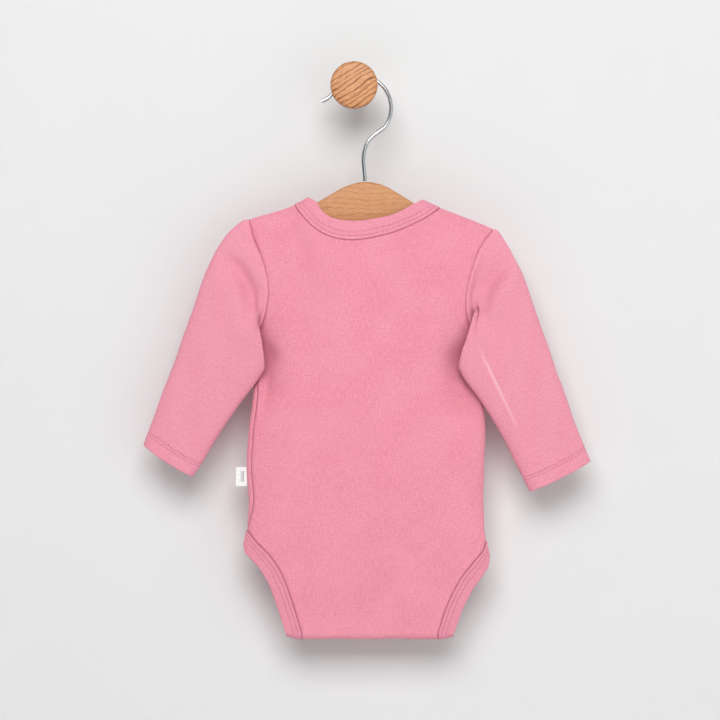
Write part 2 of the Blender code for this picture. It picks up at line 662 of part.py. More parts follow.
def build_peg(finish):
    """One turned piece: a round stem from the wall and a thick round head."""
    rim_back, rim_front = PEG_HEAD_BACK + PEG_RIM_ROUND, PEG_HEAD_FACE - PEG_RIM_ROUND
    flat = PEG_HEAD_RADIUS - PEG_RIM_ROUND
    profile = [(PEG_STEM_RADIUS, 0.0), (PEG_STEM_RADIUS, PEG_HEAD_BACK)]
    for middle, first in ((rim_back, -90), (rim_front, 0)):
        for angle in np.radians(np.linspace(first, first + 90, RIM_STEPS + 1)):
            reach = middle + PEG_RIM_ROUND * math.sin(angle)
            profile.append((flat + PEG_RIM_ROUND * math.cos(angle), reach))
    profile.append((flat / 2, PEG_HEAD_FACE + PEG_DOME * 3 / 4))
    points, faces = [], []
    for radius, reach in profile:
        for side in range(PEG_SIDES):
            angle = 2 * math.pi * side / PEG_SIDES
            points.append((radius * math.cos(angle), -reach, radius * math.sin(angle)))
    for ring in range(len(profile) - 1):
        for side in range(PEG_SIDES):
            after = (side + 1) % PEG_SIDES
            low, high = ring * PEG_SIDES, (ring + 1) * PEG_SIDES
            faces.append([low + side, low + after, high + after, high + side])
    last = (len(profile) - 1) * PEG_SIDES
    points.append((0.0, -PEG_HEAD_FACE - PEG_DOME, 0.0))
    faces += [[last + side, last + (side + 1) % PEG_SIDES, len(points) - 1] for side in range(PEG_SIDES)]
    faces.append(list(range(PEG_SIDES)))
    add_object("wall_peg", mesh_of("wall_peg", points, faces), finish)


def main():
    for old in list(bpy.data.objects):
        bpy.data.objects.remove(old, do_unlink=True)
    names = "back", "front", "sleeves", "bindings"
    pink = {name: material(name, (0.87, 0.32, 0.41), 0.85) for name in names}
    build_back_panel(pink["back"])
    build_front_panel(pink["front"])
    build_sleeve("sleeve_left", SLEEVE_LEFT, ARMHOLE_LEFT, pink["sleeves"])
    build_sleeve("sleeve_right", SLEEVE_RIGHT, ARMHOLE_RIGHT, pink["sleeves"])
    build_neck_binding(pink["bindings"])
    build_leg_binding("leg_binding_left", LEG_LEFT, pink["bindings"])
    build_leg_binding("leg_binding_right", LEG_RIGHT, pink["bindings"])
    build_label(material("label", (0.9, 0.9, 0.9), 0.6))
    build_snaps(material("snaps", (0.85, 0.45, 0.52), 0.35))
    build_hanger(material("beech", (0.72, 0.45, 0.25), 0.5))
    build_hook(material("steel", (0.72, 0.73, 0.75), 0.15, 1.0))
    build_peg(material("oak", (0.68, 0.42, 0.22), 0.5))


main()
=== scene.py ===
import math
from functools import partial

import bpy
import numpy as np
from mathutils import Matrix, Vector
from mathutils.kdtree import KDTree


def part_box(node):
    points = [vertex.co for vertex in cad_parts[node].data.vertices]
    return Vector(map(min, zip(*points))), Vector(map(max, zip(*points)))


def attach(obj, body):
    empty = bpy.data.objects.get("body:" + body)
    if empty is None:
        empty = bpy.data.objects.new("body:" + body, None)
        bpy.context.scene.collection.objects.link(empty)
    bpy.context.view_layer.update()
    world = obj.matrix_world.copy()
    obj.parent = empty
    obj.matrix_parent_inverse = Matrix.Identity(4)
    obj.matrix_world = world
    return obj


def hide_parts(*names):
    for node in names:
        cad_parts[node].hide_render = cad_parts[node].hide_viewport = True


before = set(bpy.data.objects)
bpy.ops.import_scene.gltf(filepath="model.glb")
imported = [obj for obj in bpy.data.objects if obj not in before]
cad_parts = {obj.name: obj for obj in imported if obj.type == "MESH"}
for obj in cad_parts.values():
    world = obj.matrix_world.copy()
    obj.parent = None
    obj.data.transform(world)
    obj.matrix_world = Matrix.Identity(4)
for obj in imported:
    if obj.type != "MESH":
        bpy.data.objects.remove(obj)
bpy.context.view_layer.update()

MM = 0.001

# ---- sizes shared with the CAD model ----
CLOTH, BAND, HANG_Y = 1.2, 2.2, -42.0
PANEL_PULL, SLEEVE_PULL, NECK_PULL, LEG_PULL = 0.05, -0.35, -0.2, -0.1
SHOULDER_ROUND = 8.0
FOLD_TOP_Z, FLAT_FROM_Z, FOLD_RADIUS, FLAP = -475.0, -450.0, 5.5, 20.0
FLAP_STEP, FLAP_STEP_START_Z, FLAP_STEP_END_Z = 2.8, -440.0, -455.0
FRONT_SHARE, FRONT_LEG_SCOOP, BINDING_WIDTH = 0.96, 5.0, 13.5
LIFT_FLATTENING, FULL_LIFT = 0.8, 6.0
FRONT_NECK_DROP, FRONT_BAND_WIDTH, END_RISE = 58.0, 14.0, 6.0
NECK_ROUNDNESS, NECK_FADE = 0.75, 0.75
HEM_DEPTH, HEM_STEP = 13.0, 0.6  # depth of the cuff hem, and length of the step up to it
LABEL_HEIGHT, LABEL_TOP_Z, SNAP_RADIUS = 16.5, -331.5, 4.5
PEG_STEM_RADIUS, PEG_HEAD_RADIUS, PEG_RIM_ROUND, PEG_DOME = 6.5, 20.5, 3.5, 1.2
PEG_HEAD_BACK, PEG_HEAD_FACE = 46.0, 59.0
WIRE_RADIUS, HOOK_X, HOOK_Z, HOOK_RADIUS = 1.75, 3.9, -19.1, 28.3
HOOK_ARC_START, HOOK_ARC_END = -34.0, 118.0
HANGER_THICK, HANGER_ROUND = 8.0, 2.8

# ---- sizes of the finer shapes ----
HEM_ROWS, BINDING_ROWS = (13.4, 10.8), (3.5, 7.0)  # stitches, from a cuff's end and from a band's seam
STITCH_PITCH, STITCH_LENGTH, STITCH_RADIUS, STITCH_SLANT = 2.1, 1.2, 0.48, 0.16
CORNER_RISE = 3.0  # how far a leg band's free edge is drawn up at the crotch fold
LABEL_HALF, TAPE_HALF, TAPE_END = 0.32, 0.12, 0.6  # label and its tape, each halved; end in the seam
LABEL_BEND = 0.5
SMALLEST_STEP, NO_SEAM_NEAR = 0.12, 9.0

# ---- relief of the cloth ----
SEAM_DIP, SEAM_SWELL, SEAM_PUCKER = 0.45, 0.3, 0.16
SLEEVE_DIP, SLEEVE_PUFF, SLEEVE_PUCKER = 0.8, 0.9, 0.15
HEM_ROW_DEPTH, BAND_ROW_DEPTH, BAND_SWELL = 0.32, 0.36, 0.28
HEM_ROUND, BAND_ROUND, BAND_SEAM_SHARE = 1.2, 1.3, 0.72
HEM_STITCH_LIFT, BAND_STITCH_LIFT = 0.03, 0.08
FOLD_UNEVENNESS, FOLD_START_FADE, FOLD_END_FADE = 0.25, 0.25, 0.7
PANEL_RIPPLES, SLEEVE_RIPPLES, BAND_RIPPLES = (30.0, 16.0), (34.0, 12.0), (9.0, 4.5)  # broad and fine
FRONT_CALM_FROM_Z, FRONT_CALM_TO_Z = -440.0, -452.0  # the front lies smooth under the flap
RIPPLE_WAVES, PUCKER_SIZE = 8, 7.0

# ---- grid steps ----
ARM_STEPS, SIDE_STEPS, LEG_STEPS = 48, 64, 44
NECK_STEPS, FOLD_STEPS, FLAP_STEPS = 64, 16, 8
SLEEVE_AROUND, SLEEVE_STEP = 132, 2.2
TURN_STEP, HEIGHT_STEP = 0.001, 0.02
SHOULDER_SHARES = [0, 0.006, 0.015, 0.028, 0.045, 0.07, 0.1, 0.14, 0.19, 0.25]
SHOULDER_SHARES += [0.31, 0.38, 0.45, 0.53, 0.61, 0.7, 0.79, 0.88, 0.95]
BINDING_SHARES = [0, 0.02, 0.05, 0.09, 0.13, 0.18, 0.22, 0.26, 0.3, 0.35, 0.41, 0.47, 0.51, 0.55, 0.6, 0.67]
BINDING_SHARES += [0.74, 0.8, 0.85, 0.89, 0.925, 0.95, 0.97, 0.983, 0.993, 1.0]
NEAR_ARMHOLE = [0.3, 0.7, 1.2, 1.8, 2.6, 3.4, 5.2]
NEAR_CUFF = [0, 0.12, 0.35, 0.7, 1.1, 1.6, 2.4, 9.6, 10.2, 10.8, 11.4, 12.6, 13.2, 13.8, 14.6]
HANGER_STEPS, HOOK_ARC_STEPS, HOOK_POINTS, PEG_SIDES, SNAP_SIDES = 110, 22, 160, 128, 48

# ---- knit, in millimetres, and how far the painted shade in the cloth's hollows reaches, in metres ----
WALE = 0.95
COURSE = WALE * 0.82
PAINTED_SHADE_REACH = 0.024

# ---- cuts: width and length of each flat cloth in metres, and its area if it isn't a rectangle ----
LEG_CUT_LEFT, LEG_CUT_RIGHT = (0.235, 0.0145), (0.205, 0.0145)

# ---- stage, light and camera: lights in metres, the rest in millimetres ----
WALL_Y, WALL_HALF_WIDTH, WALL_TOP_Z, WALL_SWEEP = 0.3, 3000.0, 2200.0, 260.0
FLOOR_Z, FLOOR_END_Y = -820.0, -3200.0
WALL_TONE, WORLD_STRENGTH = 221, 0.22
CAMERA_DISTANCE, VIEW_WIDTH, VIEW_X, VIEW_Z = 3200.0, 626.4, 5.2, -238.4
LIGHT_TARGET = (0, 0, -0.25)
LIGHTS = [  # name, place, width, height, power, colour
    ("key", (-0.12, -2.6, 1.25), 2.0, 1.6, 75.0, (1, 0.992, 0.995)),
    ("fill", (1.7, -2.3, -0.3), 2.4, 2.0, 15.5, (0.94, 1, 0.98)),
    ("behind", (0.0, 1.4, 0.3), 2.0, 2.0, 7.0, (1, 1, 1)),
]
WORLD_STOPS = (0.3, 0.55), (0.46, 0.62), (0.62, 0.8), (1.0, 1.0)  # share of the way up, and tone


def table(columns, *rows):
    """A short table as a dictionary of columns."""
    return dict(zip(columns.split(), np.array(rows, float).T))


# Sides of the hanging torso, its half depth, and how far round the side seams sit, by height.
TORSO = table(
    "z left right depth seam_turn",
    (-95, -99, 133, 8.6, 0),
    (-120, -96.5, 127.5, 9.2, 0),
    (-142, -92.5, 121.5, 10, 0),
    (-180, -88.5, 115, 11.2, 0),
    (-210, -86.5, 112.4, 11.8, 0),
    (-235, -86, 111.8, 12, 0),
    (-262, -86.3, 113.4, 12, 0.22),
    (-300, -91, 113.5, 12, 0.27),
    (-330, -92.8, 112.5, 12, 0.27),
    (-368, -91, 112.2, 11.2, 0.24),
    (-386, -92.5, 112.8, 10.6, 0.06),
    (-397, -95.4, 115, 10, 0),
    (-410, -96, 117.4, 9.2, 0),
    (-440, -94, 117, 7.2, 0),
    (-466, -93, 115, 5.6, 0),
    (-490, -92, 113, 5.5, 0),
)
# Line on which the cloth lies over the hanger, and passes above the neck opening.
SHOULDER = table(
    "x z",
    (-99, -119.5),
    (-91.4, -116.6),
    (-51.3, -103.8),
    (-39.2, -97.4),
    (-20, -91),
    (10, -88),
    (40, -91),
    (58.8, -99.4),
    (74.4, -106.4),
    (98, -115.4),
    (120.9, -124.8),
    (133, -131),
)
ARMHOLE_LEFT = table(
    "z x",
    (-116.6, -91.4),
    (-134.5, -86.1),
    (-150, -79.8),
    (-165, -75.8),
    (-180, -74.4),
    (-195, -76.2),
    (-208, -80.2),
    (-219, -86.1),
)
ARMHOLE_RIGHT = table(
    "z x",
    (-124.8, 120.9),
    (-141.8, 108.9),
    (-160, 102.5),
    (-177.5, 98.3),
    (-190, 97.2),
    (-204, 99.2),
    (-214, 103.6),
    (-224, 112),
)
# Leg openings on the back, from the hip down to the crotch: the seam and the band's free edge.
OPENING_COLUMNS = "share seam_x seam_z edge_x edge_z"
LEG_LEFT = table(
    OPENING_COLUMNS,
    (0, -92.5, -386, -95.7, -399.5),
    (0.08, -89.3, -391, -94.6, -405.8),
    (0.2, -82.9, -398.6, -89.6, -411.6),
    (0.34, -73.6, -408, -82.6, -419),
    (0.5, -64.8, -420.5, -75.8, -430),
    (0.66, -58.8, -434, -71.2, -440.5),
    (0.82, -53, -451, -66, -455.5),
    (1, -45.6, -475, -59.1, -476.5),
)
LEG_RIGHT = table(
    OPENING_COLUMNS,
    (0, 114.6, -396, 117.4, -409.5),
    (0.08, 112.4, -403.5, 117, -416.5),
    (0.2, 106.6, -410.8, 113.8, -423),
    (0.34, 99.6, -419.4, 109.2, -429.6),
    (0.5, 92.6, -428.6, 104.2, -436.4),
    (0.66, 86.2, -440.2, 98.6, -446.6),
    (0.82, 80.2, -453.5, 93.2, -458.2),
    (1, 73.2, -475, 86.7, -477),
)
# Back neckline, from the left shoulder to the right one: the seam and the band's free edge.
NECK = table(
    OPENING_COLUMNS,
    (0, -51.3, -103.8, -39.2, -97.4),
    (0.06, -46.5, -110.6, -33.6, -100.4),
    (0.16, -36, -121.9, -26.5, -110.2),
    (0.28, -22, -130.4, -15.5, -115.8),
    (0.42, -4, -133.9, -0.5, -117.5),
    (0.6, 19.5, -131.1, 19, -115.3),
    (0.78, 43.5, -123.7, 37, -110.7),
    (0.92, 64, -113.4, 51.5, -103),
    (1, 74.4, -106.4, 58.8, -99.4),
)
# Each row is one section of a sleeve after the armhole: where its outer and inner edges are, how far it
# bows towards the body, its depth towards the room and the wall, how far its inner edge is lifted to the
# room, and how far its wall side is tucked out round the underarm.
SLEEVE_COLUMNS = "outer_x outer_z inner_x inner_z bow back_depth front_depth lift tuck"
SLEEVE_LEFT = table(
    SLEEVE_COLUMNS,
    (-100, -120.3, -90.5, -221, 17, 6.5, 7, 1, 5),
    (-110.5, -130.3, -86, -232, 13, 7.6, 7.5, 6, 9),
    (-120.3, -144.6, -77.6, -242.5, 8, 8.5, 7.5, 7.5, 9),
    (-129.6, -165.3, -82, -253, 5, 8.5, 7.5, 6.5, 4),
    (-139.4, -193.6, -94.8, -269.7, 3, 8, 7.5, 4.5, 0),
    (-150.8, -226, -107.6, -287.8, 2, 7.6, 7.2, 3, 0),
    (-162.4, -257.4, -119.6, -305.8, 1, 7.2, 6.8, 2, 0),
    (-173.4, -286.6, -131, -325.2, 0, 6.8, 6.4, 1, 0),
    (-182.7, -313, -141.2, -339.8, -1.5, 6.2, 5.8, 0, 0),
)
SLEEVE_RIGHT = table(
    SLEEVE_COLUMNS,
    (127.4, -130, 118, -226, 19, 6.5, 7, 1, 9),
    (134.6, -141, 108.5, -234, 14, 7.6, 7.5, 7, 13),
    (141.6, -154.2, 91.8, -240, 8, 8.5, 7.5, 9.5, 18),
    (148.9, -170.5, 94.8, -252.5, 5, 8.5, 7.5, 8.5, 9),
    (156.8, -193.6, 108.4, -271, 3, 8, 7.5, 6, 0),
    (168, -226, 120.6, -290, 2, 7.6, 7.2, 4, 0),
    (179.6, -259, 131.8, -310, 1, 7.2, 6.8, 2.5, 0),
    (191.4, -292, 142.6, -331.4, 0, 6.8, 6.4, 1, 0),
    (205, -327, 153.6, -352.6, -1.5, 6.2, 5.8, 0, 0),
)
# Hollows pressed into the back panel beside the underarm folds.
PINCHES = table(
    "x z half_width half_height share",
    (-84, -246, 17, 34, 0.72),
    (99, -246, 21, 38, 0.7),
)
HANGER = table(
    "x top bottom",
    (-76, -119, -126),
    (-51, -110.5, -125),
    (-33, -101.8, -124),
    (-20.9, -94.8, -123.2),
    (-7.8, -87.6, -122.8),
    (9.6, -83.5, -122.5),
    (27, -87, -122.8),
    (40, -94.5, -123.5),
    (53, -102.5, -125),
    (74, -113, -128),
    (104, -125, -132),
)
# Bent wire below the round part of the hook, and past its top.
HOOK_NECK = table("x z", (9.4, -82.9), (9.4, -55), (12.2, -48.4), (18.4, -42))
HOOK_TIP = table("x z", (-15.6, -0.6), (-18.6, -6.6), (-22.6, -10.6), (-28, -13.2))


# ---- curves ----
def smooth(knots, values, at):
    """Values on a smooth curve through a table's rows. Values may be numbers or points."""
    knots, values = np.asarray(knots, float), np.asarray(values, float)
    if knots[0] > knots[-1]:
        knots, values = knots[::-1], values[::-1]
    slopes = np.gradient(values, knots, axis=0)
    at = np.clip(np.asarray(at, float), knots[0], knots[-1])
    below = np.clip(np.searchsorted(knots, at) - 1, 0, len(knots) - 2)
    gap = knots[below + 1] - knots[below]
    share = (at - knots[below]) / gap
    if values.ndim > 1:
        extra = (1,) * (values.ndim - 1)
        gap, share = gap.reshape(gap.shape + extra), share.reshape(share.shape + extra)
    rest = 1 - share
    return (
        (1 + 2 * share) * rest**2 * values[below]
        + share * rest**2 * gap * slopes[below]
        + share**2 * (3 - 2 * share) * values[below + 1]
        - share**2 * rest * gap * slopes[below + 1]
    )


def ease(low, high, value):
    """0 below low, 1 above high, and a soft step between them."""
    share = np.clip((value - low) / (high - low), 0, 1)
    return share**2 * (3 - 2 * share)


def eased_steps(count):
    """Shares from 0 to 1 that lie closer together at both ends."""
    return (1 - np.cos(np.linspace(0, math.pi, count + 1))) / 2


def mix(first, second, share):
    return first + (second - first) * share


def bell(value, middle, width):
    """1 at the middle, falling away to both sides."""
    return np.exp(-(((value - middle) / width) ** 2))


def distances(line):
    """Distance along a line of points from its first one."""
    return np.concatenate([[0], np.cumsum(np.linalg.norm(np.diff(line, axis=0), axis=1))])


def closed(grid):
    """A grid with its first column once more after its last."""
    return np.concatenate([grid, grid[:, :1]], axis=1)


def unit(vectors):
    return vectors / np.maximum(np.linalg.norm(vectors, axis=-1, keepdims=True), 1e-9)


def normals_of(surface, first, second, step_first, step_second):
    """Unit normals of a surface given as a function of two parameters."""
    along_first = surface(first + step_first, second) - surface(first - step_first, second)
    along_second = surface(first, second + step_second) - surface(first, second - step_second)
    return unit(np.cross(along_first, along_second))


# ---- torso ----
def torso_side(z):
    """Centre and half width of the torso at a height."""
    left, right = (smooth(TORSO["z"], TORSO[side], z) for side in ("left", "right"))
    return (left + right) / 2, (right - left) / 2


def torso_point(turn, z):
    """Middle of the torso's cloth. turn is 0 at the right side, pi / 2 at the middle of the back, pi at the
    left side and 3 pi / 2 at the middle of the front."""
    centre, half = torso_side(z)
    x = centre + half * np.cos(turn)
    below = np.maximum(smooth(SHOULDER["x"], SHOULDER["z"], x) - z, 0)
    round_side = np.sin(turn) * np.sqrt(1 + np.cos(turn) ** 2)
    crotch = ease(FLAT_FROM_Z, FOLD_TOP_Z, z)
    round_side = mix(round_side, np.sign(np.sin(turn)), crotch * (np.abs(np.cos(turn)) < 0.8))
    near_shoulder = np.sqrt(1 - np.exp(-below / SHOULDER_ROUND))
    depth = smooth(TORSO["z"], TORSO["depth"], z) * round_side * near_shoulder
    pressed = sum(
        share * np.exp(-(((x - at_x) / width) ** 2) - ((z - at_z) / height) ** 2)
        for at_x, at_z, width, height, share in zip(*PINCHES.values())
    )
    inside_flap = FLAP_STEP * ease(FLAP_STEP_START_Z, FLAP_STEP_END_Z, z)
    depth = np.where(depth > 0, depth * (1 - pressed), np.minimum(depth + inside_flap, 0))
    return np.stack([x, HANG_Y - depth, z + 0 * x], axis=-1)


def torso_normal(turn, z):
    return -normals_of(torso_point, turn, z, TURN_STEP, HEIGHT_STEP)


def turn_of(x, z, front):
    """The torso's turn at a place on its back or its front."""
    centre, half = torso_side(z)
    turn = np.arccos(np.clip((x - centre) / half, -1, 1))
    return 2 * math.pi - turn if front else turn


def neck_line(front, part):
    """x and z along the neckline from left to right: part is seam or edge."""
    share = eased_steps(NECK_STEPS)
    if not front:
        return tuple(smooth(NECK["share"], NECK[f"{part}_{axis}"], share) for axis in "xz")
    ends = [(NECK[f"{part}_x"][i], NECK[f"{part}_z"][i]) for i in (0, -1)]
    drop = FRONT_NECK_DROP - (FRONT_BAND_WIDTH + END_RISE if part == "edge" else 0.0)
    x = mix(ends[0][0], ends[1][0], share)
    z = mix(ends[0][1], ends[1][1], share) - drop * np.sin(math.pi * share) ** NECK_ROUNDNESS
    return x, z


def leg_line(leg, front, part):
    """x and z along a leg opening from the hip down to the crotch: part is seam or edge."""
    even = np.linspace(0, 1, LEG_STEPS + 1)
    share = even * (FRONT_SHARE if front else 1.0)
    x, z = (smooth(leg["share"], leg[f"{part}_{axis}"], share) for axis in "xz")
    scoop = FRONT_LEG_SCOOP * np.sin(math.pi * even) * front
    return x - math.copysign(1.0, leg["seam_x"][0]) * scoop, z


def panel_sides(front):
    """Left and right borders of a torso panel as (turn, z), from the shoulder down to the crotch."""
    borders = []
    for armhole, leg, is_left in ((ARMHOLE_LEFT, LEG_LEFT, True), (ARMHOLE_RIGHT, LEG_RIGHT, False)):
        arm_z = mix(armhole["z"][0], armhole["z"][-1], eased_steps(ARM_STEPS))
        arm_turn = turn_of(smooth(armhole["z"], armhole["x"], arm_z), arm_z, front)
        side_z = np.linspace(arm_z[-1], leg["seam_z"][0], SIDE_STEPS + 1)[1:-1]
        shift = smooth(TORSO["z"], TORSO["seam_turn"], side_z)
        side_turn = (math.pi if is_left else 2 * math.pi * front) - shift
        leg_x, leg_z = leg_line(leg, front, "seam")
        leg_turn = turn_of(leg_x, leg_z, front)
        turn = np.concatenate([arm_turn, side_turn, leg_turn])
        borders.append((turn, np.concatenate([arm_z, side_z, leg_z])))
    return borders


def panel_grid(front):
    """turn and z of a torso panel's grid: rows run across it, from the shoulders to the crotch."""
    (left_turn, left_z), (right_turn, right_z) = panel_sides(front)
    neck_x, neck_z = neck_line(front, "seam")
    shares = np.array(SHOULDER_SHARES)
    left_x = mix(ARMHOLE_LEFT["x"][0], neck_x[0], shares)
    right_x = mix(ARMHOLE_RIGHT["x"][0], neck_x[-1], shares)[::-1]
    shoulder_z = [smooth(SHOULDER["x"], SHOULDER["z"], x) for x in (left_x, right_x)]
    top_x = np.concatenate([left_x, neck_x, right_x])
    top_z = np.concatenate([shoulder_z[0], neck_z, shoulder_z[1]])
    top_turn = turn_of(top_x, top_z, front)
    across = (top_x - top_x[0]) / (top_x[-1] - top_x[0])
    down = np.linspace(0, 1, len(left_z))[:, None]
    fade = (1 - ease(0, NECK_FADE, down)) * (1 - down)
    turn = mix(left_turn[:, None], right_turn[:, None], across)
    turn = turn + (top_turn - mix(left_turn[0], right_turn[0], across)) * fade
    z = mix(left_z[:, None], right_z[:, None], across)
    return turn, z + (top_z - mix(left_z[0], right_z[0], across)) * fade


def fold_rows(x):
    """Points and normals where the back panel turns under the crotch and up the front, for places x."""
    half_round = np.linspace(0, math.pi, FOLD_STEPS + 1)[1:]
    rows = [(-math.cos(angle), -math.sin(angle), 0.0) for angle in half_round]
    rows += [(1.0, 0.0, FLAP * k / FLAP_STEPS) for k in range(1, FLAP_STEPS + 1)]
    points, normals = [], []
    for out_y, out_z, up in rows:
        y, z = HANG_Y + FOLD_RADIUS * out_y, FOLD_TOP_Z + FOLD_RADIUS * out_z + up
        points.append(np.stack([x, y + 0 * x, z + 0 * x], axis=-1))
        normals.append(np.stack([0 * x, out_y + 0 * x, out_z + 0 * x], axis=-1))
    return np.array(points), np.array(normals)


def pull_in(points, edges, gap):
    """Moves the named borders of a grid of points inwards, to leave a gap at each seam."""
    moved = points.copy()
    for edge in edges:
        border, inner = {
            "top": ((0, slice(None)), (1, slice(None))),
            "left": ((slice(None), 0), (slice(None), 1)),
            "right": ((slice(None), -1), (slice(None), -2)),
        }[edge]
        moved[border] = moved[border] + unit(points[inner] - points[border]) * gap
    return moved


# ---- sleeves ----
def sleeve_rings(sections, armhole, around):
    """Middle points of a sleeve's sections. around is 0 at the outer edge and pi at the inner one: the side
    towards the room comes first."""
    share = (1 - np.cos(around)) / 2
    arm_z = mix(armhole["z"][0], armhole["z"][-1], share)
    turn = turn_of(smooth(armhole["z"], armhole["x"], arm_z), arm_z, False)
    back = torso_point(turn, arm_z)
    front = torso_point(2 * math.pi - turn, arm_z)
    rings = [np.where((np.sin(around) >= 0)[..., None], back, front)]
    rounded = np.sin(around) * np.sqrt(1 + np.cos(around) ** 2)
    side = math.copysign(1.0, armhole["x"][0])
    tucked = ease(0.3, 0.75, share) * (1 - ease(0.86, 1.0, share)) * (rounded < 0)
    for row in zip(*sections.values()):
        outer_x, outer_z, inner_x, inner_z, bow, back_depth, front_depth, lift, tuck = row
        length = math.hypot(inner_x - outer_x, inner_z - outer_z)
        bulge = bow * 4 * share * (1 - share) - tuck * tucked
        lifted = np.where(rounded > 0, ease(0.45, 0.92, share), ease(0.58, 0.82, share))
        x = mix(outer_x, inner_x, share) - side * bulge * abs(inner_z - outer_z) / length
        z = mix(outer_z, inner_z, share) + bulge * abs(inner_x - outer_x) / length
        flattened = 1 - LIFT_FLATTENING * lifted * min(lift / FULL_LIFT, 1)
        depth = rounded * np.where(rounded > 0, back_depth, front_depth * flattened)
        y = HANG_Y - lift * lifted - depth
        rings.append(np.stack([x, y, z], axis=-1))
    return np.array(rings)


def sleeve_surface(sections, armhole):
    """A function of the place along a sleeve, in sections from its armhole, and the angle around it."""

    def surface(along, around):
        rings = sleeve_rings(sections, armhole, around[0])
        return smooth(np.arange(len(rings)), rings, along[:, 0])

    return surface


# ---- folds and unevenness ----
# Each fold is a line through places (x, z), its height (a trough is below zero), its half width, and how
# much softer its second side is than its first.
BACK_FOLDS = [
    (((-80, -218), (-75, -234), (-79, -262), (-92, -294)), -3.4, 9, 0.5),
    (((-76, -222), (-67, -246), (-66, -282)), -1.2, 9, 0.5),
    (((102, -226), (93, -240), (98, -262), (114, -300)), -4, 10, 0.5),
    (((98, -216), (86, -244), (87, -290)), -1.6, 10, 0.5),
    (((-62, -150), (-58, -230), (-64, -330)), 0.55, 17, 0.2),
    (((80, -150), (74, -240), (82, -350)), 0.5, 18, 0.2),
    (((20, -160), (8, -270), (14, -400)), 0.35, 26, 0.3),
    (((-25, -150), (-30, -260), (-24, -390)), -0.3, 15, 0.2),
    (((48, -150), (44, -260), (47, -370)), -0.3, 16, 0.2),
    (((20.9, -415), (40, -424), (61.8, -438.5)), -0.5, 3, 0.8),
    (((35.7, -277.5), (48.7, -290.6)), -0.35, 3, 0.6),
    (((-50, -408), (-20, -421), (5, -428)), -0.35, 8, 0.6),
]
FRONT_FOLDS = [
    (((-78, -215), (-72, -250), (-76, -300)), -0.9, 10, 0.4),
    (((96, -215), (91, -250), (95, -310)), -0.9, 10, 0.4),
    (((-45, -190), (-52, -260), (-44, -350)), 0.6, 18, 0.2),
    (((10, -200), (16, -290), (6, -400)), -0.5, 16, 0.3),
    (((60, -190), (66, -270), (58, -370)), 0.6, 18, 0.2),
    (((-30, -420), (0, -405), (28, -396)), -0.5, 7, 0.7),
]
# Folds of the sleeves towards the room, then those towards the wall.
SLEEVE_FOLDS = [
    (((-122, -142), (-100, -158), (-89, -178), (-86.5, -218)), -5.6, 6.5, 0.9),
    (((-108, -160), (-99, -186), (-97, -226)), 2.4, 6, 0.5),
    (((-128, -190), (-120, -235), (-134, -285)), 0.5, 13, 0.3),
    (((-103, -252), (-122, -268), (-150, -276)), -0.35, 6, 0.5),
    (((142, -143), (131, -155), (117, -173), (104, -208)), -5.6, 7.5, 0.7),
    (((146, -158), (129, -178), (117, -212)), 2.4, 6, 0.5),
    (((104.4, -223.6), (114.8, -241), (121.8, -255.8), (131.4, -275.8), (142.7, -299.3)), 1.1, 1.2, 0.5),
    (((109.4, -223.6), (120, -241), (127.8, -256.8), (137.4, -277.8)), -0.6, 5, 0.5),
    (((160, -215), (158, -255), (176, -300)), 0.5, 13, 0.3),
]
WALL_SIDE_FOLDS = [
    (((-108, -146), (-90, -170), (-85, -208)), -1.6, 6, 0.5),
    (((-125, -200), (-118, -240), (-132, -290)), 0.6, 12, 0.3),
    (((-100, -246), (-118, -262), (-146, -268)), -0.6, 6, 0.5),
    (((136, -158), (114, -182), (106, -212)), -1.8, 6, 0.5),
    (((158, -215), (150, -255), (168, -300)), 0.6, 12, 0.3),
    (((126, -252), (146, -268), (172, -272)), -0.6, 6, 0.5),
]
# Line of the painted highlight along the pressed ridge of the right sleeve.
HIGHLIGHT_RIDGE_LINE = (104.4, -220.6), (114.8, -241), (121.8, -255.8), (131.4, -275.8), (145.7, -304.3)


def crease(x, z, line, half_width, softness):
    """1 on a fold's line, falling away to both sides and towards its ends."""
    line = np.array(line, float)
    lengths = np.hypot(*np.diff(line, axis=0).T)
    starts = np.concatenate([[0], np.cumsum(lengths)])
    nearest = np.full(x.shape, 1e9)
    across, along = np.zeros(x.shape), np.zeros(x.shape)
    for (x0, z0), (x1, z1), length, start in zip(line, line[1:], lengths, starts):
        share = np.clip(((x - x0) * (x1 - x0) + (z - z0) * (z1 - z0)) / length**2, 0, 1)
        away_x, away_z = x - mix(x0, x1, share), z - mix(z0, z1, share)
        distance = np.hypot(away_x, away_z)
        side = np.sign(away_x * (z1 - z0) - away_z * (x1 - x0))
        closer = distance < nearest
        nearest = np.where(closer, distance, nearest)
        across = np.where(closer, distance * side, across)
        along = np.where(closer, (start + share * length) / starts[-1], along)
    width = half_width * np.where(across > 0, 1 + softness, 1.0)
    fade = ease(0, FOLD_START_FADE, along) * (1 - ease(FOLD_END_FADE, 1.0, along))
    uneven = 1 + FOLD_UNEVENNESS * np.sin(along * 9.0 + line[0, 0])
    return bell(across, 0, width) * fade * uneven


def ripple(x, z, size, seed):
    """Soft unevenness of about unit height, the same on every run."""
    dice = np.random.default_rng(seed)
    total = 0 * x
    for _ in range(RIPPLE_WAVES):
        angle, length, phase = dice.uniform(0, math.pi), size * dice.uniform(0.7, 1.8), dice.uniform(0, 6.28)
        total = total + np.sin(2 * math.pi * (x * math.cos(angle) + z * math.sin(angle)) / length + phase)
    return 2 * total / RIPPLE_WAVES


def folds_of(folds, x, z):
    return sum(height * crease(x, z, line, width, softness) for line, height, width, softness in folds)


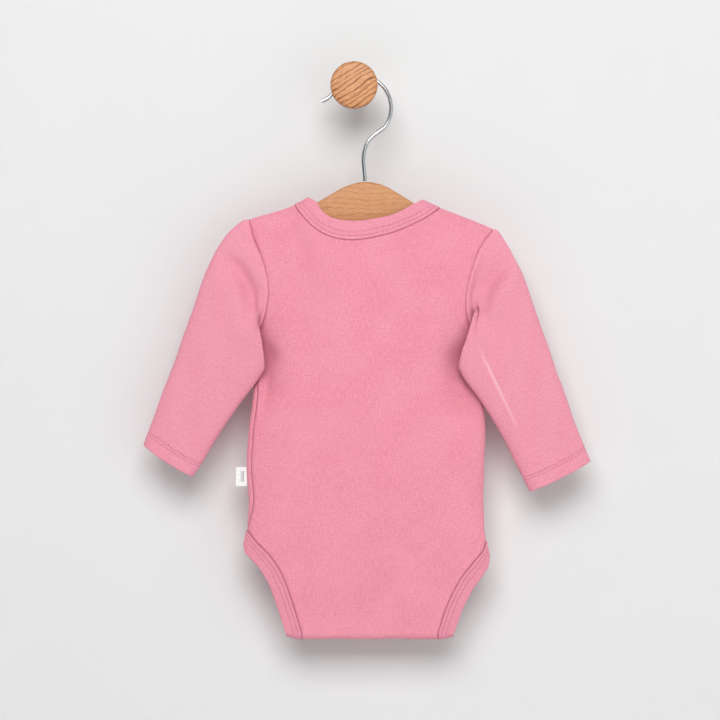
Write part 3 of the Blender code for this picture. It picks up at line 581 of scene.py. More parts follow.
def seam_relief(edge, seed, x, z):
    """Cloth dips into a seam, stands over the allowance next to it, and puckers a little."""
    dip = SEAM_SWELL * bell(edge, 3.0, 2.0) - SEAM_DIP * bell(edge, 0, 0.9)
    return dip + SEAM_PUCKER * np.exp(-edge / 5.0) * ripple(x, z, PUCKER_SIZE, seed)


def distance_to(points, borders):
    """Distance of every point of a grid from the nearest of some lines of points."""
    dense = []
    for border in borders:
        steps = np.linspace(0, len(border) - 1, 6 * len(border))
        low = np.minimum(steps.astype(int), len(border) - 2)
        dense.append(mix(border[low], border[low + 1], (steps - low)[:, None]))
    dense = np.concatenate(dense)
    tree = KDTree(len(dense))
    for number, place in enumerate(dense):
        tree.insert(place, number)
    tree.balance()
    flat = points.reshape(-1, 3)
    return np.array([tree.find(place)[2] for place in flat]).reshape(points.shape[:-1])


# ---- meshes ----
def show(name, data):
    """A new object in the scene with some data."""
    made = bpy.data.objects.new(name, data)
    bpy.context.scene.collection.objects.link(made)
    return made


def show_piece(name, data, finish, nodes):
    """An object that rides on the body and stands for some CAD nodes."""
    data.materials.append(finish)
    piece = show(name, data)
    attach(piece, "root")
    if nodes:
        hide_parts(*nodes)
    return piece


def mark(mesh, name, values):
    """Gives every point of a mesh a number that its material can read."""
    layer = mesh.attributes.new(name, "FLOAT", "POINT")
    layer.data.foreach_set("value", values.reshape(-1).astype(np.float32))


def add_piece(name, points, faces, finish, nodes=(), cloth=None, edge=None, sharp=50):
    """A piece made of a mesh, with its points in millimetres."""
    mesh = bpy.data.meshes.new(name)
    mesh.from_pydata((np.asarray(points) * MM).tolist(), [], [list(map(int, face)) for face in faces])
    if cloth is not None:
        layer = mesh.uv_layers.new(name="cloth")
        layer.data.foreach_set("uv", (np.asarray(cloth).reshape(-1) / 100).astype(np.float32))
    if edge is not None:
        mark(mesh, "edge", edge)
    mesh.shade_smooth()
    mesh.set_sharp_from_angle(angle=math.radians(sharp))
    return show_piece(name, mesh, finish, nodes)


def shell(name, points, normals, outer, inner, cloth, edge, finish, slot, nodes, ring=False):
    """A cloth wall round a grid of middle points, with its own depth to each side of them. A ring joins each
    row's last point to its first. cloth holds the place of each point on the flat cloth."""
    rows, columns = points.shape[:2]
    outer, inner = (np.broadcast_to(side, (rows, columns))[..., None] for side in (outer, inner))
    corners = np.concatenate([points + normals * outer, points - normals * inner]).reshape(-1, 3)
    index = np.arange(rows * columns).reshape(rows, columns)
    if ring:
        index = closed(index)
    other = index + rows * columns

    def squares(grid):
        return np.stack([grid[:-1, :-1], grid[:-1, 1:], grid[1:, 1:], grid[1:, :-1]], axis=2)

    def strips(first, second):
        return np.stack([first[:-1], first[1:], second[1:], second[:-1]], axis=1)

    front, places = squares(index).reshape(-1, 4), squares(cloth).reshape(-1, 4, 2)
    a, b, d = (corners[front[:, k]] for k in (0, 1, 3))
    facing = np.sum(np.cross(b - a, d - a) * normals.reshape(-1, 3)[front[:, 0]])
    back = squares(other).reshape(-1, 4)
    lines = [(0, slice(None), True), (-1, slice(None), False)]
    if not ring:
        lines += [(slice(None), 0, False), (slice(None), -1, True)]
    rims, rim_places = [], []
    for row, column, turned in lines:
        pair = index[row, column], other[row, column]
        rims.append(strips(*(pair[::-1] if turned else pair)))
        rim_places.append(strips(cloth[row, column], cloth[row, column]))
    faces = np.concatenate([front, back[:, ::-1], *rims])
    uv = np.concatenate([places, places[:, ::-1], *rim_places])
    if facing < 0:
        faces, uv = faces[:, ::-1], uv[:, ::-1]
    return add_piece(name, corners, faces, finish, nodes, uv, np.stack([edge, edge]))


def lengths_along(points, axis):
    """Distance from the first point of each row or column of a grid."""
    steps = np.linalg.norm(np.diff(points, axis=axis), axis=-1)
    total = np.cumsum(steps, axis=axis)
    return np.concatenate([np.zeros_like(np.take(total, [0], axis=axis)), total], axis=axis)


def rounded(distance, depth):
    """Share of a wall's thickness at a distance from its rounded free edge."""
    return np.sqrt(np.clip(1 - (1 - np.clip(distance / depth, 0, 1)) ** 2, 0.02, 1))


def fine_steps(length, step, start, end):
    """Places along a length: even steps, with extra places near the start and near the end."""
    places = np.concatenate([np.arange(0, length, step), start, length - np.array(end), [length]])
    places = np.unique(np.round(places[(places >= 0) & (places <= length)], 3))
    keep = np.concatenate([[True], np.diff(places) > SMALLEST_STEP])
    keep[-1] = True
    return places[keep]


# ---- garment ----
def build_panel(name, front, folds, seed, finish):
    turn, z = panel_grid(front)
    points, normals = torso_point(turn, z), torso_normal(turn, z)
    v = points[..., 2]
    if not front:
        flap_points, flap_normals = fold_rows(points[-1, :, 0])
        points, normals = np.concatenate([points, flap_points]), np.concatenate([normals, flap_normals])
        down = lengths_along(points[len(v) - 1 :], 0)[1:]
        v = np.concatenate([v, v[-1] - down])
    points = pull_in(points, ("top", "left", "right"), PANEL_PULL)
    edge = distance_to(points, [points[0], points[:, 0], points[:, -1]])
    across = lengths_along(points, 1)
    middle = points.shape[1] // 2
    u = across - across[:, middle : middle + 1] + points[:, middle : middle + 1, 0]
    x = points[..., 0]
    broad, fine = PANEL_RIPPLES
    relief = folds_of(folds, x, v) + 0.3 * ripple(x, v / 3, broad, seed) + 0.1 * ripple(x, v, fine, seed + 1)
    relief = relief * ease(1.0, 8.0, edge) + seam_relief(edge, seed + 2, x, v)
    if front:
        relief = relief * (1 - ease(FRONT_CALM_FROM_Z, FRONT_CALM_TO_Z, v))
    points = points + normals * relief[..., None]
    cloth = np.stack([u, v], axis=-1)
    node = "front_panel" if front else "back_panel"
    return shell(name, points, normals, CLOTH / 2, CLOTH / 2, cloth, edge, finish, "body_cotton", [node])


def sleeve_grid(sections, armhole):
    """Points, normals and the angle round a fine grid of a sleeve, from its armhole to its cuff."""
    surface = sleeve_surface(sections, armhole)
    outer_x = np.concatenate([[armhole["x"][0]], sections["outer_x"]])
    outer_z = np.concatenate([[armhole["z"][0]], sections["outer_z"]])
    reach = distances(np.stack([outer_x, outer_z], axis=-1))
    places = fine_steps(reach[-1], SLEEVE_STEP, NEAR_ARMHOLE, NEAR_CUFF)
    along = np.interp(places, reach, np.arange(len(reach)))[:, None]
    around = math.pi + np.linspace(0, 2 * math.pi, SLEEVE_AROUND + 1)[:-1][None, :]
    points = surface(along, around)
    normals = normals_of(surface, along, around, TURN_STEP, TURN_STEP)
    normals = normals * np.sign(np.sum(normals * (points - points.mean(axis=1, keepdims=True))))
    arm_z = points[0, :, 2]
    turn = turn_of(smooth(armhole["z"], armhole["x"], arm_z), arm_z, False)
    normals[0] = torso_normal(np.where(np.sin(around[0]) >= 0, turn, 2 * math.pi - turn), arm_z)
    blend = ease(0, 5, lengths_along(points, 0))[..., None]
    normals = unit(mix(normals[0][None], normals, blend))
    return points, normals, around


def stitch_row(points, normals, measured, row, out):
    """The line of a grid at a measured distance, moved out along its normals, and those normals."""
    nearest = np.argmin(np.abs(measured - row), axis=0)
    columns = np.arange(points.shape[1])
    facing = normals[nearest, columns]
    return points[nearest, columns] + facing * out[nearest, columns, None], facing


def build_sleeve(name, node, sections, armhole, seed, finish):
    points, normals, around = sleeve_grid(sections, armhole)
    points = pull_in(points, ("top",), SLEEVE_PULL)
    from_seam = lengths_along(points, 0)
    to_end = from_seam[-1:] - from_seam
    u = lengths_along(closed(points), 1)
    u = u - u[:, SLEEVE_AROUND // 2 : SLEEVE_AROUND // 2 + 1]
    cloth = np.stack([u, closed(-from_seam)], axis=-1)
    x, z = points[..., 0], points[..., 2]
    to_room = ease(-0.15, 0.35, np.sin(around))
    relief = folds_of(SLEEVE_FOLDS, x, z) * to_room + folds_of(WALL_SIDE_FOLDS, x, z) * (1 - to_room)
    broad, fine = SLEEVE_RIPPLES
    relief = relief + 0.28 * ripple(x, z, broad, seed) + 0.08 * ripple(x, z, fine, seed + 1)
    relief = relief * ease(0.5, 7.0, from_seam) * ease(6.0, 26.0, to_end)
    puff = SLEEVE_PUFF * bell(from_seam, 4.0, 3.5) - SLEEVE_DIP * bell(from_seam, 0, 0.9)
    relief = relief + puff + SLEEVE_PUCKER * np.exp(-from_seam / 5) * ripple(x, z, PUCKER_SIZE, seed + 2)
    rows = sum(bell(to_end, row, 0.8) for row in HEM_ROWS)
    relief = relief - HEM_ROW_DEPTH * rows + 0.1 * ripple(x, z, 6.0, seed + 3) * (1 - ease(10, 20, to_end))
    points = points + normals * relief[..., None]
    hem = 1 - ease(HEM_DEPTH - HEM_STEP, HEM_DEPTH, to_end)
    end = rounded(to_end, HEM_ROUND)
    outer, inner = (CLOTH / 2 + 0.3 * hem) * end, (CLOTH / 2 + 0.8 * hem) * end
    shape = (name, points, normals, outer, inner, cloth, from_seam)
    piece = shell(*shape, finish, "sleeve_cotton", [node], ring=True)
    # painted highlight: a lighter band along the sleeve's pressed ridge, on its side towards the room
    pressed = crease(x, z, HIGHLIGHT_RIDGE_LINE, 0.9, 0.3) * to_room
    mark(piece.data, "pressed", np.stack([pressed, 0 * pressed]))
    mark(piece.data, "from_end", np.stack([to_end, to_end]))
    lines = []
    for row in HEM_ROWS:
        line, facing = stitch_row(points, normals, to_end, row, outer + HEM_STITCH_LIFT)
        lines.append((np.concatenate([line, line[:1]]), np.concatenate([facing, normals[:1, 0]])))
    return piece, lines


def neck_ring(share):
    """Points and normals right round the neck binding at a share of its width."""
    halves = []
    for front in (False, True):
        (seam_x, seam_z), (edge_x, edge_z) = neck_line(front, "seam"), neck_line(front, "edge")
        x, z = mix(seam_x, edge_x, share), mix(seam_z, edge_z, share)
        z = np.minimum(z, smooth(SHOULDER["x"], SHOULDER["z"], x))
        turn = turn_of(x, z, front)
        halves.append((torso_point(turn, z), torso_normal(turn, z)))
    return [np.concatenate([halves[0][k], halves[1][k][-2:0:-1]]) for k in (0, 1)]


def leg_strip(leg, share):
    """Points and normals along a leg binding at a share of its width, from the flap round to the front."""
    outwards = math.copysign(1.0, leg["seam_x"][0])
    halves = []
    for front in (False, True):
        seam, edge = (np.array(leg_line(leg, front, part)) for part in ("seam", "edge"))
        x, z = mix(seam, edge, share)
        turn = turn_of(x, z, front)
        halves.append((torso_point(turn, z), torso_normal(turn, z)))
    flap = fold_rows(leg["seam_x"][-1:] + outwards * BINDING_WIDTH * share)
    corner = CORNER_RISE * share**2 * (flap[0][:, 0, 2] < FOLD_TOP_Z + 1)
    flap[0][:, 0, 2] += corner * ease(FOLD_TOP_Z + 1, FOLD_TOP_Z - FOLD_RADIUS, flap[0][:, 0, 2])
    back, front = halves
    return [np.concatenate([flap[k][::-1, 0], back[k][::-1], front[k][1:]]) for k in (0, 1)]


def build_binding(name, node, strip, seed, finish, ring):
    """A folded band with a rounded free edge, two sunk rows of stitches, and the seam that it is set on."""
    points, normals = (np.stack(part) for part in zip(*(strip(share) for share in BINDING_SHARES)))
    if not ring:
        points, normals = points[:, ::-1], normals[:, ::-1]
    points = pull_in(points, ("top",), NECK_PULL if ring else LEG_PULL)
    from_seam = lengths_along(points, 0)
    to_edge = from_seam[-1:] - from_seam
    u = lengths_along(closed(points) if ring else points, 1)
    v = closed(from_seam) if ring else from_seam
    x, z = points[..., 0], points[..., 2]
    rows = sum(bell(from_seam, row, 0.75) for row in BINDING_ROWS)
    broad, fine = BAND_RIPPLES
    relief = BAND_SWELL * bell(from_seam, 1.6, 1.1) - BAND_ROW_DEPTH * rows
    relief = relief + 0.12 * ripple(x, z, broad, seed)
    relief = relief + 0.1 * ripple(x, z, fine, seed + 1) * np.exp(-from_seam / 6)
    points = points + normals * relief[..., None]
    side = BAND / 2 * rounded(to_edge, BAND_ROUND) * mix(BAND_SEAM_SHARE, 1, ease(0, 1.0, from_seam))
    if not ring:
        ends = lengths_along(points, 1)
        side = side * rounded(np.minimum(ends, ends[:, -1:] - ends), 0.8)
    cloth = np.stack([u, v], axis=-1)
    shape = (name, points, normals, side, side, cloth, from_seam)
    piece = shell(*shape, finish, "binding_cotton", [node], ring)
    lines = []
    for row in BINDING_ROWS:
        line, facing = stitch_row(points, normals, from_seam, row, side + BAND_STITCH_LIFT)
        if ring:
            line, facing = np.concatenate([line, line[:1]]), np.concatenate([facing, facing[:1]])
        lines.append((line, facing))
    return piece, lines


def build_threads(name, lines, finish):
    """Rows of short stitches, each one a slim bead lying on the cloth."""
    rings, sides = np.linspace(0, math.pi, 6), np.linspace(0, 2 * math.pi, 7)[:-1]
    bead = [(-1.0, 0.0, 0.0)]
    for a in rings[1:-1]:
        bead += [(-math.cos(a), math.sin(a) * math.cos(b), math.sin(a) * math.sin(b)) for b in sides]
    bead = np.array(bead + [(1.0, 0.0, 0.0)]) * (STITCH_LENGTH / 2, STITCH_RADIUS * 0.8, STITCH_RADIUS)
    count, last = len(sides), len(bead) - 1
    faces = [(0, 1 + (k + 1) % count, 1 + k) for k in range(count)]
    for ring in range(len(rings) - 3):
        low, high = 1 + ring * count, 1 + (ring + 1) * count
        faces += [(low + k, low + (k + 1) % count, high + (k + 1) % count, high + k) for k in range(count)]
    faces += [(last, last - count + k, last - count + (k + 1) % count) for k in range(count)]
    points, all_faces = [], []
    for line, facing in lines:
        reach = distances(line)
        middles = np.arange(STITCH_PITCH / 2, reach[-1], STITCH_PITCH)

        def at(values, places):
            return np.stack([np.interp(places, reach, values[:, k]) for k in range(3)], axis=-1)

        along = unit(at(line, middles + 0.4) - at(line, middles - 0.4))
        out = unit(at(facing, middles))
        along = unit(along + STITCH_SLANT * np.cross(along, out))
        for middle, *axes in zip(at(line, middles), along, out, np.cross(along, out)):
            start = len(points) * len(bead)
            points.append(middle + bead @ np.array(axes))
            all_faces += [tuple(start + corner for corner in face) for face in faces]
    return add_piece(name, np.concatenate(points), all_faces, finish, sharp=80)


def tube_faces(rings, sides):
    """Faces of a tube whose points run ring by ring, with a flat cap at each end."""
    faces = []
    for ring in range(rings - 1):
        for side in range(sides):
            after, low, high = (side + 1) % sides, ring * sides, (ring + 1) * sides
            faces.append([low + side, low + after, high + after, high + side])
    faces.append(list(range(sides))[::-1])
    faces.append([(rings - 1) * sides + side for side in range(sides)])
    return faces


def lathe(profile, sides):
    """Points and faces of a turned shape from (radius, reach) pairs, reaching towards the room."""
    angles = np.linspace(0, 2 * math.pi, sides + 1)[:-1]
    points = []
    for radius, reach in profile:
        points += [(radius * math.cos(a), -reach, radius * math.sin(a)) for a in angles]
    return np.array(points), tube_faces(len(profile), sides)


def build_label(finish):
    """A folded tape that stands out of the left side seam, its fold outwards."""
    low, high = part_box("side_label")
    right, left = high[0] / MM + TAPE_END, low[0] / MM
    middle = (low[1] + high[1]) / 2 / MM
    turn = np.linspace(-math.pi / 2, math.pi / 2, 13)
    gap, reach = LABEL_HALF, right - left - 0.5
    flat = np.linspace(0, 1, 9)
    path = [(right - reach * s, middle - gap) for s in flat]
    path += [(left + 0.5 - 0.45 * math.cos(a), middle + gap * math.sin(a)) for a in turn[1:-1]]
    path += [(right - reach * s, middle + gap) for s in flat[::-1]]
    path = np.array(path)
    heights = np.linspace(LABEL_TOP_Z, LABEL_TOP_Z - LABEL_HEIGHT, 15)
    points = np.array([[(x, y, z) for z in heights] for x, y in path])
    share = (right - points[..., 0]) / (right - left)
    below_top = points[..., 2] - LABEL_TOP_Z
    points[..., 1] += LABEL_BEND * share**2 * np.sin(below_top / LABEL_HEIGHT * 3.0 + 0.5)
    along = np.gradient(points, axis=0)
    normals = unit(np.cross(along, np.array([0.0, 0.0, 1.0])))
    cloth = np.stack([lengths_along(points, 0), below_top], axis=-1)
    from_seam = np.full(points.shape[:2], NO_SEAM_NEAR)
    shape = ("label", points, normals, TAPE_HALF, TAPE_HALF, cloth, from_seam)
    return shell(*shape, finish, "label_tape", ["side_label"])


def build_snaps(finish):
    """Press studs on the flap: a rounded ring round a small dimple."""
    profile = [(SNAP_RADIUS, 0.0), (SNAP_RADIUS, 0.35), (4.3, 0.85), (3.8, 1.25), (3.1, 1.5), (2.5, 1.6)]
    profile += [(2.0, 1.45), (1.7, 1.0), (1.4, 0.7), (0.8, 0.62), (0.15, 0.6)]
    points, faces = lathe(profile, SNAP_SIDES)
    faces = [face[::-1] for face in faces]
    for number in (1, 2, 3):
        low, high = (np.array(corner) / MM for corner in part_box(f"snap_{number}"))
        placed = points * (1, -1, 1) + ((low[0] + high[0]) / 2, low[1], (low[2] + high[2]) / 2)
        add_piece(f"press_stud_{number}", placed, faces, finish, [f"snap_{number}"], sharp=35)


def build_hanger(finish):
    """A flat wooden arch with rounded edges and ends."""
    x = mix(HANGER["x"][0], HANGER["x"][-1], eased_steps(HANGER_STEPS))
    top, bottom = (smooth(HANGER["x"], HANGER[side], x) for side in ("top", "bottom"))
    corner = np.radians(np.linspace(0, 90, 6))
    points = []
    for place, high, low in zip(x, top, bottom):
        end = min(place - x[0], x[-1] - place)
        shrink = float(rounded(np.array(end), HANGER_ROUND))
        half_y, half_z = HANGER_THICK / 2 - HANGER_ROUND * (1 - shrink) * 0.9, (high - low) / 2
        half_z = max(half_z - HANGER_ROUND * (1 - shrink) * 0.9, 0.4)
        radius = min(HANGER_ROUND * max(shrink, 0.3), half_y * 0.95, half_z * 0.95)
        for start, sign_y, sign_z in ((0, 1, 1), (90, -1, 1), (180, -1, -1), (270, 1, -1)):
            for a in corner + math.radians(start):
                y = sign_y * (half_y - radius) + radius * math.cos(a)
                z = sign_z * (half_z - radius) + radius * math.sin(a)
                points.append((place, HANG_Y + y, (high + low) / 2 + z))
    faces = tube_faces(len(x), 4 * len(corner))
    add_piece("hanger_wood", np.array(points), faces, finish, ["hanger"], sharp=60)


def build_hook(finish):
    """The bent wire: up from the hanger, round over the peg's stem, and out at its tip."""
    angle = np.radians(np.linspace(HOOK_ARC_START, HOOK_ARC_END, HOOK_ARC_STEPS))
    arc_x, arc_z = HOOK_X + HOOK_RADIUS * np.cos(angle), HOOK_Z + HOOK_RADIUS * np.sin(angle)
    x = np.concatenate([HOOK_NECK["x"], arc_x, HOOK_TIP["x"]])
    z = np.concatenate([HOOK_NECK["z"], arc_z, HOOK_TIP["z"]])
    bends = np.stack([x, z], axis=-1)
    places = distances(bends)
    even = smooth(places, bends, np.linspace(0, places[-1], HOOK_POINTS))
    wire = bpy.data.curves.new("hook_wire", "CURVE")
    wire.dimensions = "3D"
    line = wire.splines.new("POLY")
    line.points.add(len(even) - 1)
    for point, (x, z) in zip(line.points, even):
        point.co = (x * MM, HANG_Y * MM, z * MM, 1)
    line.use_smooth = True
    wire.bevel_depth, wire.bevel_resolution, wire.use_fill_caps = WIRE_RADIUS * MM, 8, True
    show_piece("hook_wire", wire, finish, ["hanger_hook"])


def build_peg(finish):
    """One turned piece: a round stem from the wall and a thick round head."""
    flat = PEG_HEAD_RADIUS - PEG_RIM_ROUND
    profile = [(PEG_STEM_RADIUS, 0.0), (PEG_STEM_RADIUS, PEG_HEAD_BACK)]
    for middle, first in ((PEG_HEAD_BACK + PEG_RIM_ROUND, -90), (PEG_HEAD_FACE - PEG_RIM_ROUND, 0)):
        for a in np.radians(np.linspace(first, first + 90, 9)):
            profile.append((flat + PEG_RIM_ROUND * math.cos(a), middle + PEG_RIM_ROUND * math.sin(a)))
    profile += [(flat * s, PEG_HEAD_FACE + PEG_DOME * (1 - s**2)) for s in (0.85, 0.7, 0.55, 0.4, 0.25, 0.1)]
    points, faces = lathe(profile, PEG_SIDES)
    add_piece("peg_wood", points, faces, finish, ["wall_peg"], sharp=40)


# ---- materials ----
class Look:
    """A Principled material, with short ways to add nodes to it."""

    def __init__(self, name, roughness, **values):
        self.made = bpy.data.materials.new(name)
        self.made.use_nodes = True
        self.tree = self.made.node_tree
        self.shader = self.tree.nodes["Principled BSDF"]
        self.shader.inputs["Roughness"].default_value = roughness
        for socket, value in values.items():
            self.shader.inputs[socket.replace("_", " ")].default_value = value

    def add(self, kind, inputs=None, output=0, **settings):
        node = self.tree.nodes.new("ShaderNode" + kind)
        for key, value in settings.items():
            setattr(node, key, value)
        for key, value in (inputs or {}).items():
            self.feed(node.inputs[key], value)
        return node.outputs[output]

    def feed(self, socket, value):
        if isinstance(value, bpy.types.NodeSocket):
            self.tree.links.new(value, socket)
        else:
            socket.default_value = value

    def math(self, operation, first, second=0.0):
        return self.add("Math", {0: first, 1: second}, operation=operation)

    def plus(self, first, second):
        return self.math("ADD", first, second)

    def minus(self, first, second):
        return self.math("SUBTRACT", first, second)

    def times(self, first, second):
        return self.math("MULTIPLY", first, second)

    def size(self, value):
        return self.math("ABSOLUTE", value)

    def wave(self, place, length):
        return self.math("SINE", self.times(place, 2 * math.pi / length))

    def parts(self, vector):
        node = self.tree.nodes.new("ShaderNodeSeparateXYZ")
        self.feed(node.inputs[0], vector)
        return node.outputs

    def scaled(self, vector, scale, turn=0.0):
        return self.add("Mapping", {"Vector": vector, "Rotation": (0, turn, 0), "Scale": scale})

    def place(self):
        return self.add("TexCoord", output="Object")

    def cloth_place(self):
        """The place on the flat cloth, in millimetres."""
        return self.scaled(self.add("UVMap", uv_map="cloth"), (100, 100, 1))

    def attribute(self, name):
        return self.add("Attribute", attribute_name=name, output="Fac")

    def noise(self, vector, scale, detail=2.0, roughness=0.55):
        settings = {"Vector": vector, "Scale": scale, "Detail": detail, "Roughness": roughness}
        return self.add("TexNoise", settings, output="Fac")

    def remap(self, value, low, high, to_low, to_high):
        limits = {"Value": value, 1: low, 2: high, 3: to_low, 4: to_high}
        return self.add("MapRange", limits, interpolation_type="SMOOTHSTEP")

    def blend(self, share, first, second):
        node = self.tree.nodes.new("ShaderNodeMix")
        node.data_type = "RGBA"
        for socket, value in zip((node.inputs[0], node.inputs[6], node.inputs[7]), (share, first, second)):
            self.feed(socket, value)
        return node.outputs[2]

    def layer(self, color, value, limits, other):
        """A colour that turns into another one where a remapped value is high."""
        return self.blend(self.remap(value, *limits), color, other)

    def finish(self, color, bump=None, strength=1.0, distance=0.0003, roughness=None):
        self.feed(self.shader.inputs["Base Color"], color)
        if roughness is not None:
            self.feed(self.shader.inputs["Roughness"], roughness)
        if bump is not None:
            normal = self.add("Bump", {"Height": bump, "Strength": strength, "Distance": distance})
            self.feed(self.shader.inputs["Normal"], normal)
        return self.made


def rgb(red, green, blue):
    """A linear colour from the usual 0 to 255 values."""
    parts = [value / 255 for value in (red, green, blue)]
    return (*(p / 12.92 if p <= 0.04045 else ((p + 0.055) / 1.055) ** 2.4 for p in parts), 1.0)


def shade(color, red, green, blue):
    """A colour with a stated share of its red, green and blue."""
    return [min(part * share, 1) for part, share in zip(color, (red, green, blue, 1))]


def knit(name, color, streaks, rows=(), rows_from="edge"):
    """Fine knitted cotton: columns of stitches along the cloth, slubs and streaks, sunk rows of sewing with
    painted shade in them, a painted highlight along a pressed ridge, and painted shade in seams and hollows."""
    look = Look(name, 0.88, Sheen_Weight=0.3, Sheen_Roughness=0.5, Sheen_Tint=rgb(255, 205, 215))
    look.shader.inputs["Specular IOR Level"].default_value = 0.22
    place = look.cloth_place()
    u, v = look.parts(place)[:2]
    ridges = look.size(look.wave(u, WALE))
    course_place = look.plus(look.times(v, 2 * math.pi / COURSE), look.times(ridges, 1.4))
    course = look.math("SINE", course_place)
    streak = look.noise(look.scaled(place, (1.0, 0.17, 1)), 0.8, roughness=0.6)
    slub = look.noise(look.scaled(place, (0.9, 1.6, 1)), 1.1)
    broad = look.noise(place, 0.028)
    fuzz = look.noise(look.scaled(place, (1.0, 0.6, 1)), 0.95, roughness=0.75)
    loops = look.plus(look.times(ridges, 0.6), look.times(course, 0.25))
    grain = look.plus(look.times(loops, 0.16), look.times(slub, 0.4))
    shown = color
    for value, limits, tint in (
        (streak, (0.3, 0.7, 0.0, streaks), (0.86, 0.74, 0.78)),
        (broad, (0.3, 0.7, 0.0, 0.5), (1.02, 1.1, 1.08)),
        (grain, (0.05, 0.45, 0.2, 0.0), (0.62, 0.62, 0.62)),
        (fuzz, (0.3, 0.6, 0.62, 0.0), (0.78, 0.56, 0.62)),
        (fuzz, (0.55, 0.75, 0.0, 0.4), (1.06, 1.3, 1.22)),
    ):
        shown = look.layer(shown, value, limits, shade(color, *tint))
    measured = look.attribute(rows_from)
    # painted shade in the sunk rows of stitches
    for row in rows:
        beside = look.size(look.minus(measured, row))
        shown = look.layer(shown, beside, (0.35, 0.7, 0.8, 0.0), shade(color, 0.66, 0.36, 0.46))
    # painted highlight along the pressed ridge
    shown = look.blend(look.times(look.attribute("pressed"), 0.6), shown, rgb(255, 206, 218))
    # ambient-occlusion mask that places the painted shade in hollows, under folds and beside the sleeves
    painted_hollow_shade = look.add("AmbientOcclusion", {"Distance": PAINTED_SHADE_REACH}, output="AO", samples=8)
    # dark is the colour of the painted shade in seams and hollows
    dark = shade(color, 0.5, 0.33, 0.41)
    # painted shade along the seams: the cloth darkens towards each seam line
    shown = look.layer(shown, look.attribute("edge"), (0.1, 0.8, 0.75, 0.0), dark)
    # painted shade in hollows and under folds, from the ambient-occlusion mask
    shown = look.layer(shown, painted_hollow_shade, (0.3, 0.98, 0.85, 0.0), dark)
    height = look.plus(loops, look.plus(look.times(streak, 0.5), look.times(fuzz, 1.8)))
    height = look.plus(height, look.times(slub, 0.9))
    return look.finish(shown, height, 0.55, 0.00028)


def thread(name, color):
    """Twisted sewing thread."""
    look = Look(name, 0.62, Sheen_Weight=0.25, Sheen_Roughness=0.4, Sheen_Tint=rgb(255, 220, 225))
    place = look.place()
    twist = look.noise(place, 2600.0, detail=1.0)
    base = look.layer(color, look.noise(place, 90.0), (0.3, 0.7, 0.0, 0.5), shade(color, 0.86, 0.86, 0.86))
    base = look.layer(base, twist, (0.3, 0.7, 0.0, 0.35), shade(color, 0.7, 0.7, 0.7))
    return look.finish(base, twist, 0.5, 0.0001)


def label_tape():
    """Smooth white satin tape with a fine weave and two plain woven lines."""
    look = Look("label_tape", 0.5, Sheen_Weight=0.1)
    place = look.cloth_place()
    u, v = look.parts(place)[:2]
    ribs, weft = look.wave(v, 0.35), look.wave(u, 0.3)
    white = look.layer(rgb(246, 244, 242), look.noise(place, 0.5), (0.3, 0.7, 0.0, 1.0), rgb(232, 229, 228))
    from_fold = look.size(look.minus(u, 8.9))
    within = look.remap(look.size(look.plus(v, 8.2)), 4.6, 4.8, 1.0, 0.0)
    wide, slim = (
        look.remap(look.size(look.minus(from_fold, middle)), half, half + 0.12, 1.0, 0.0)
        for middle, half in ((5.6, 0.42), (3.9, 0.2))
    )
    woven = look.times(look.math("MAXIMUM", wide, slim), within)
    color = look.blend(look.times(woven, 0.85), white, rgb(92, 90, 92))
    return look.finish(color, look.plus(ribs, weft), 0.35, 0.00008)


def press_stud():
    """Lacquered metal, a little worn."""
    look = Look("snap_cap", 0.36, Coat_Weight=0.25, Coat_Roughness=0.2)
    place = look.place()
    tone, worn = look.noise(place, 260.0, detail=3.0), look.noise(place, 1400.0)
    color = look.layer(rgb(240, 165, 182), tone, (0.35, 0.7, 0.0, 0.4), rgb(222, 138, 158))
    return look.finish(color, worn, 0.12, 0.0001, look.remap(worn, 0.3, 0.7, 0.28, 0.46))


def wood(name, tones, turn, ring, grain, contrast, roughness):
    """Planed wood: growth rings as wavering dark lines along one direction, with fine pores between them.
    tones are its light, middle and dark colours, and ring is the width of a growth ring."""
    light, middle, dark = tones
    look = Look(name, roughness, Coat_Weight=0.08, Coat_Roughness=0.45)
    look.shader.inputs["Specular IOR Level"].default_value = 0.35
    place = look.scaled(look.place(), (1000, 1000, 1000), turn)
    wander = look.noise(look.scaled(place, (0.03, 0.08, 0.08)), 1.0, detail=3.0)
    y, z = look.parts(place)[1:]
    across = look.plus(look.plus(z, look.times(y, 0.35)), look.times(look.minus(wander, 0.5), ring * 2.6))
    broad, narrow = look.wave(across, ring), look.wave(across, ring * 0.37)
    rings = look.plus(look.times(broad, 0.65), look.times(narrow, 0.35))
    fibres = look.noise(look.scaled(place, (0.11, 1.6, 1.6)), grain, detail=4.0, roughness=0.7)
    pores = look.noise(look.scaled(place, (0.3, 3.2, 3.2)), grain, roughness=0.6)
    broken = look.plus(rings, look.times(look.minus(fibres, 0.5), 2.2))
    color = look.layer(light, fibres, (0.3, 0.7, 0.0, 1.0), middle)
    color = look.layer(color, broken, (0.1, 0.9, 0.0, contrast), dark)
    color = look.layer(color, pores, (0.52, 0.7, 0.0, 0.3 + 0.25 * contrast), shade(dark, 0.5, 0.5, 0.5))
    return look.finish(color, look.minus(fibres, look.times(pores, 0.7)), 0.25, 0.0002)


def steel():
    """Bright drawn wire."""
    look = Look("steel_wire", 0.14, Metallic=1.0)
    place = look.place()
    drawn, fine = look.noise(place, 420.0, detail=3.0), look.noise(place, 2200.0)
    color = look.layer(rgb(205, 207, 210), drawn, (0.3, 0.7, 0.0, 0.5), rgb(170, 172, 176))
    return look.finish(color, fine, 0.06, 0.0001, look.remap(drawn, 0.3, 0.7, 0.1, 0.24))


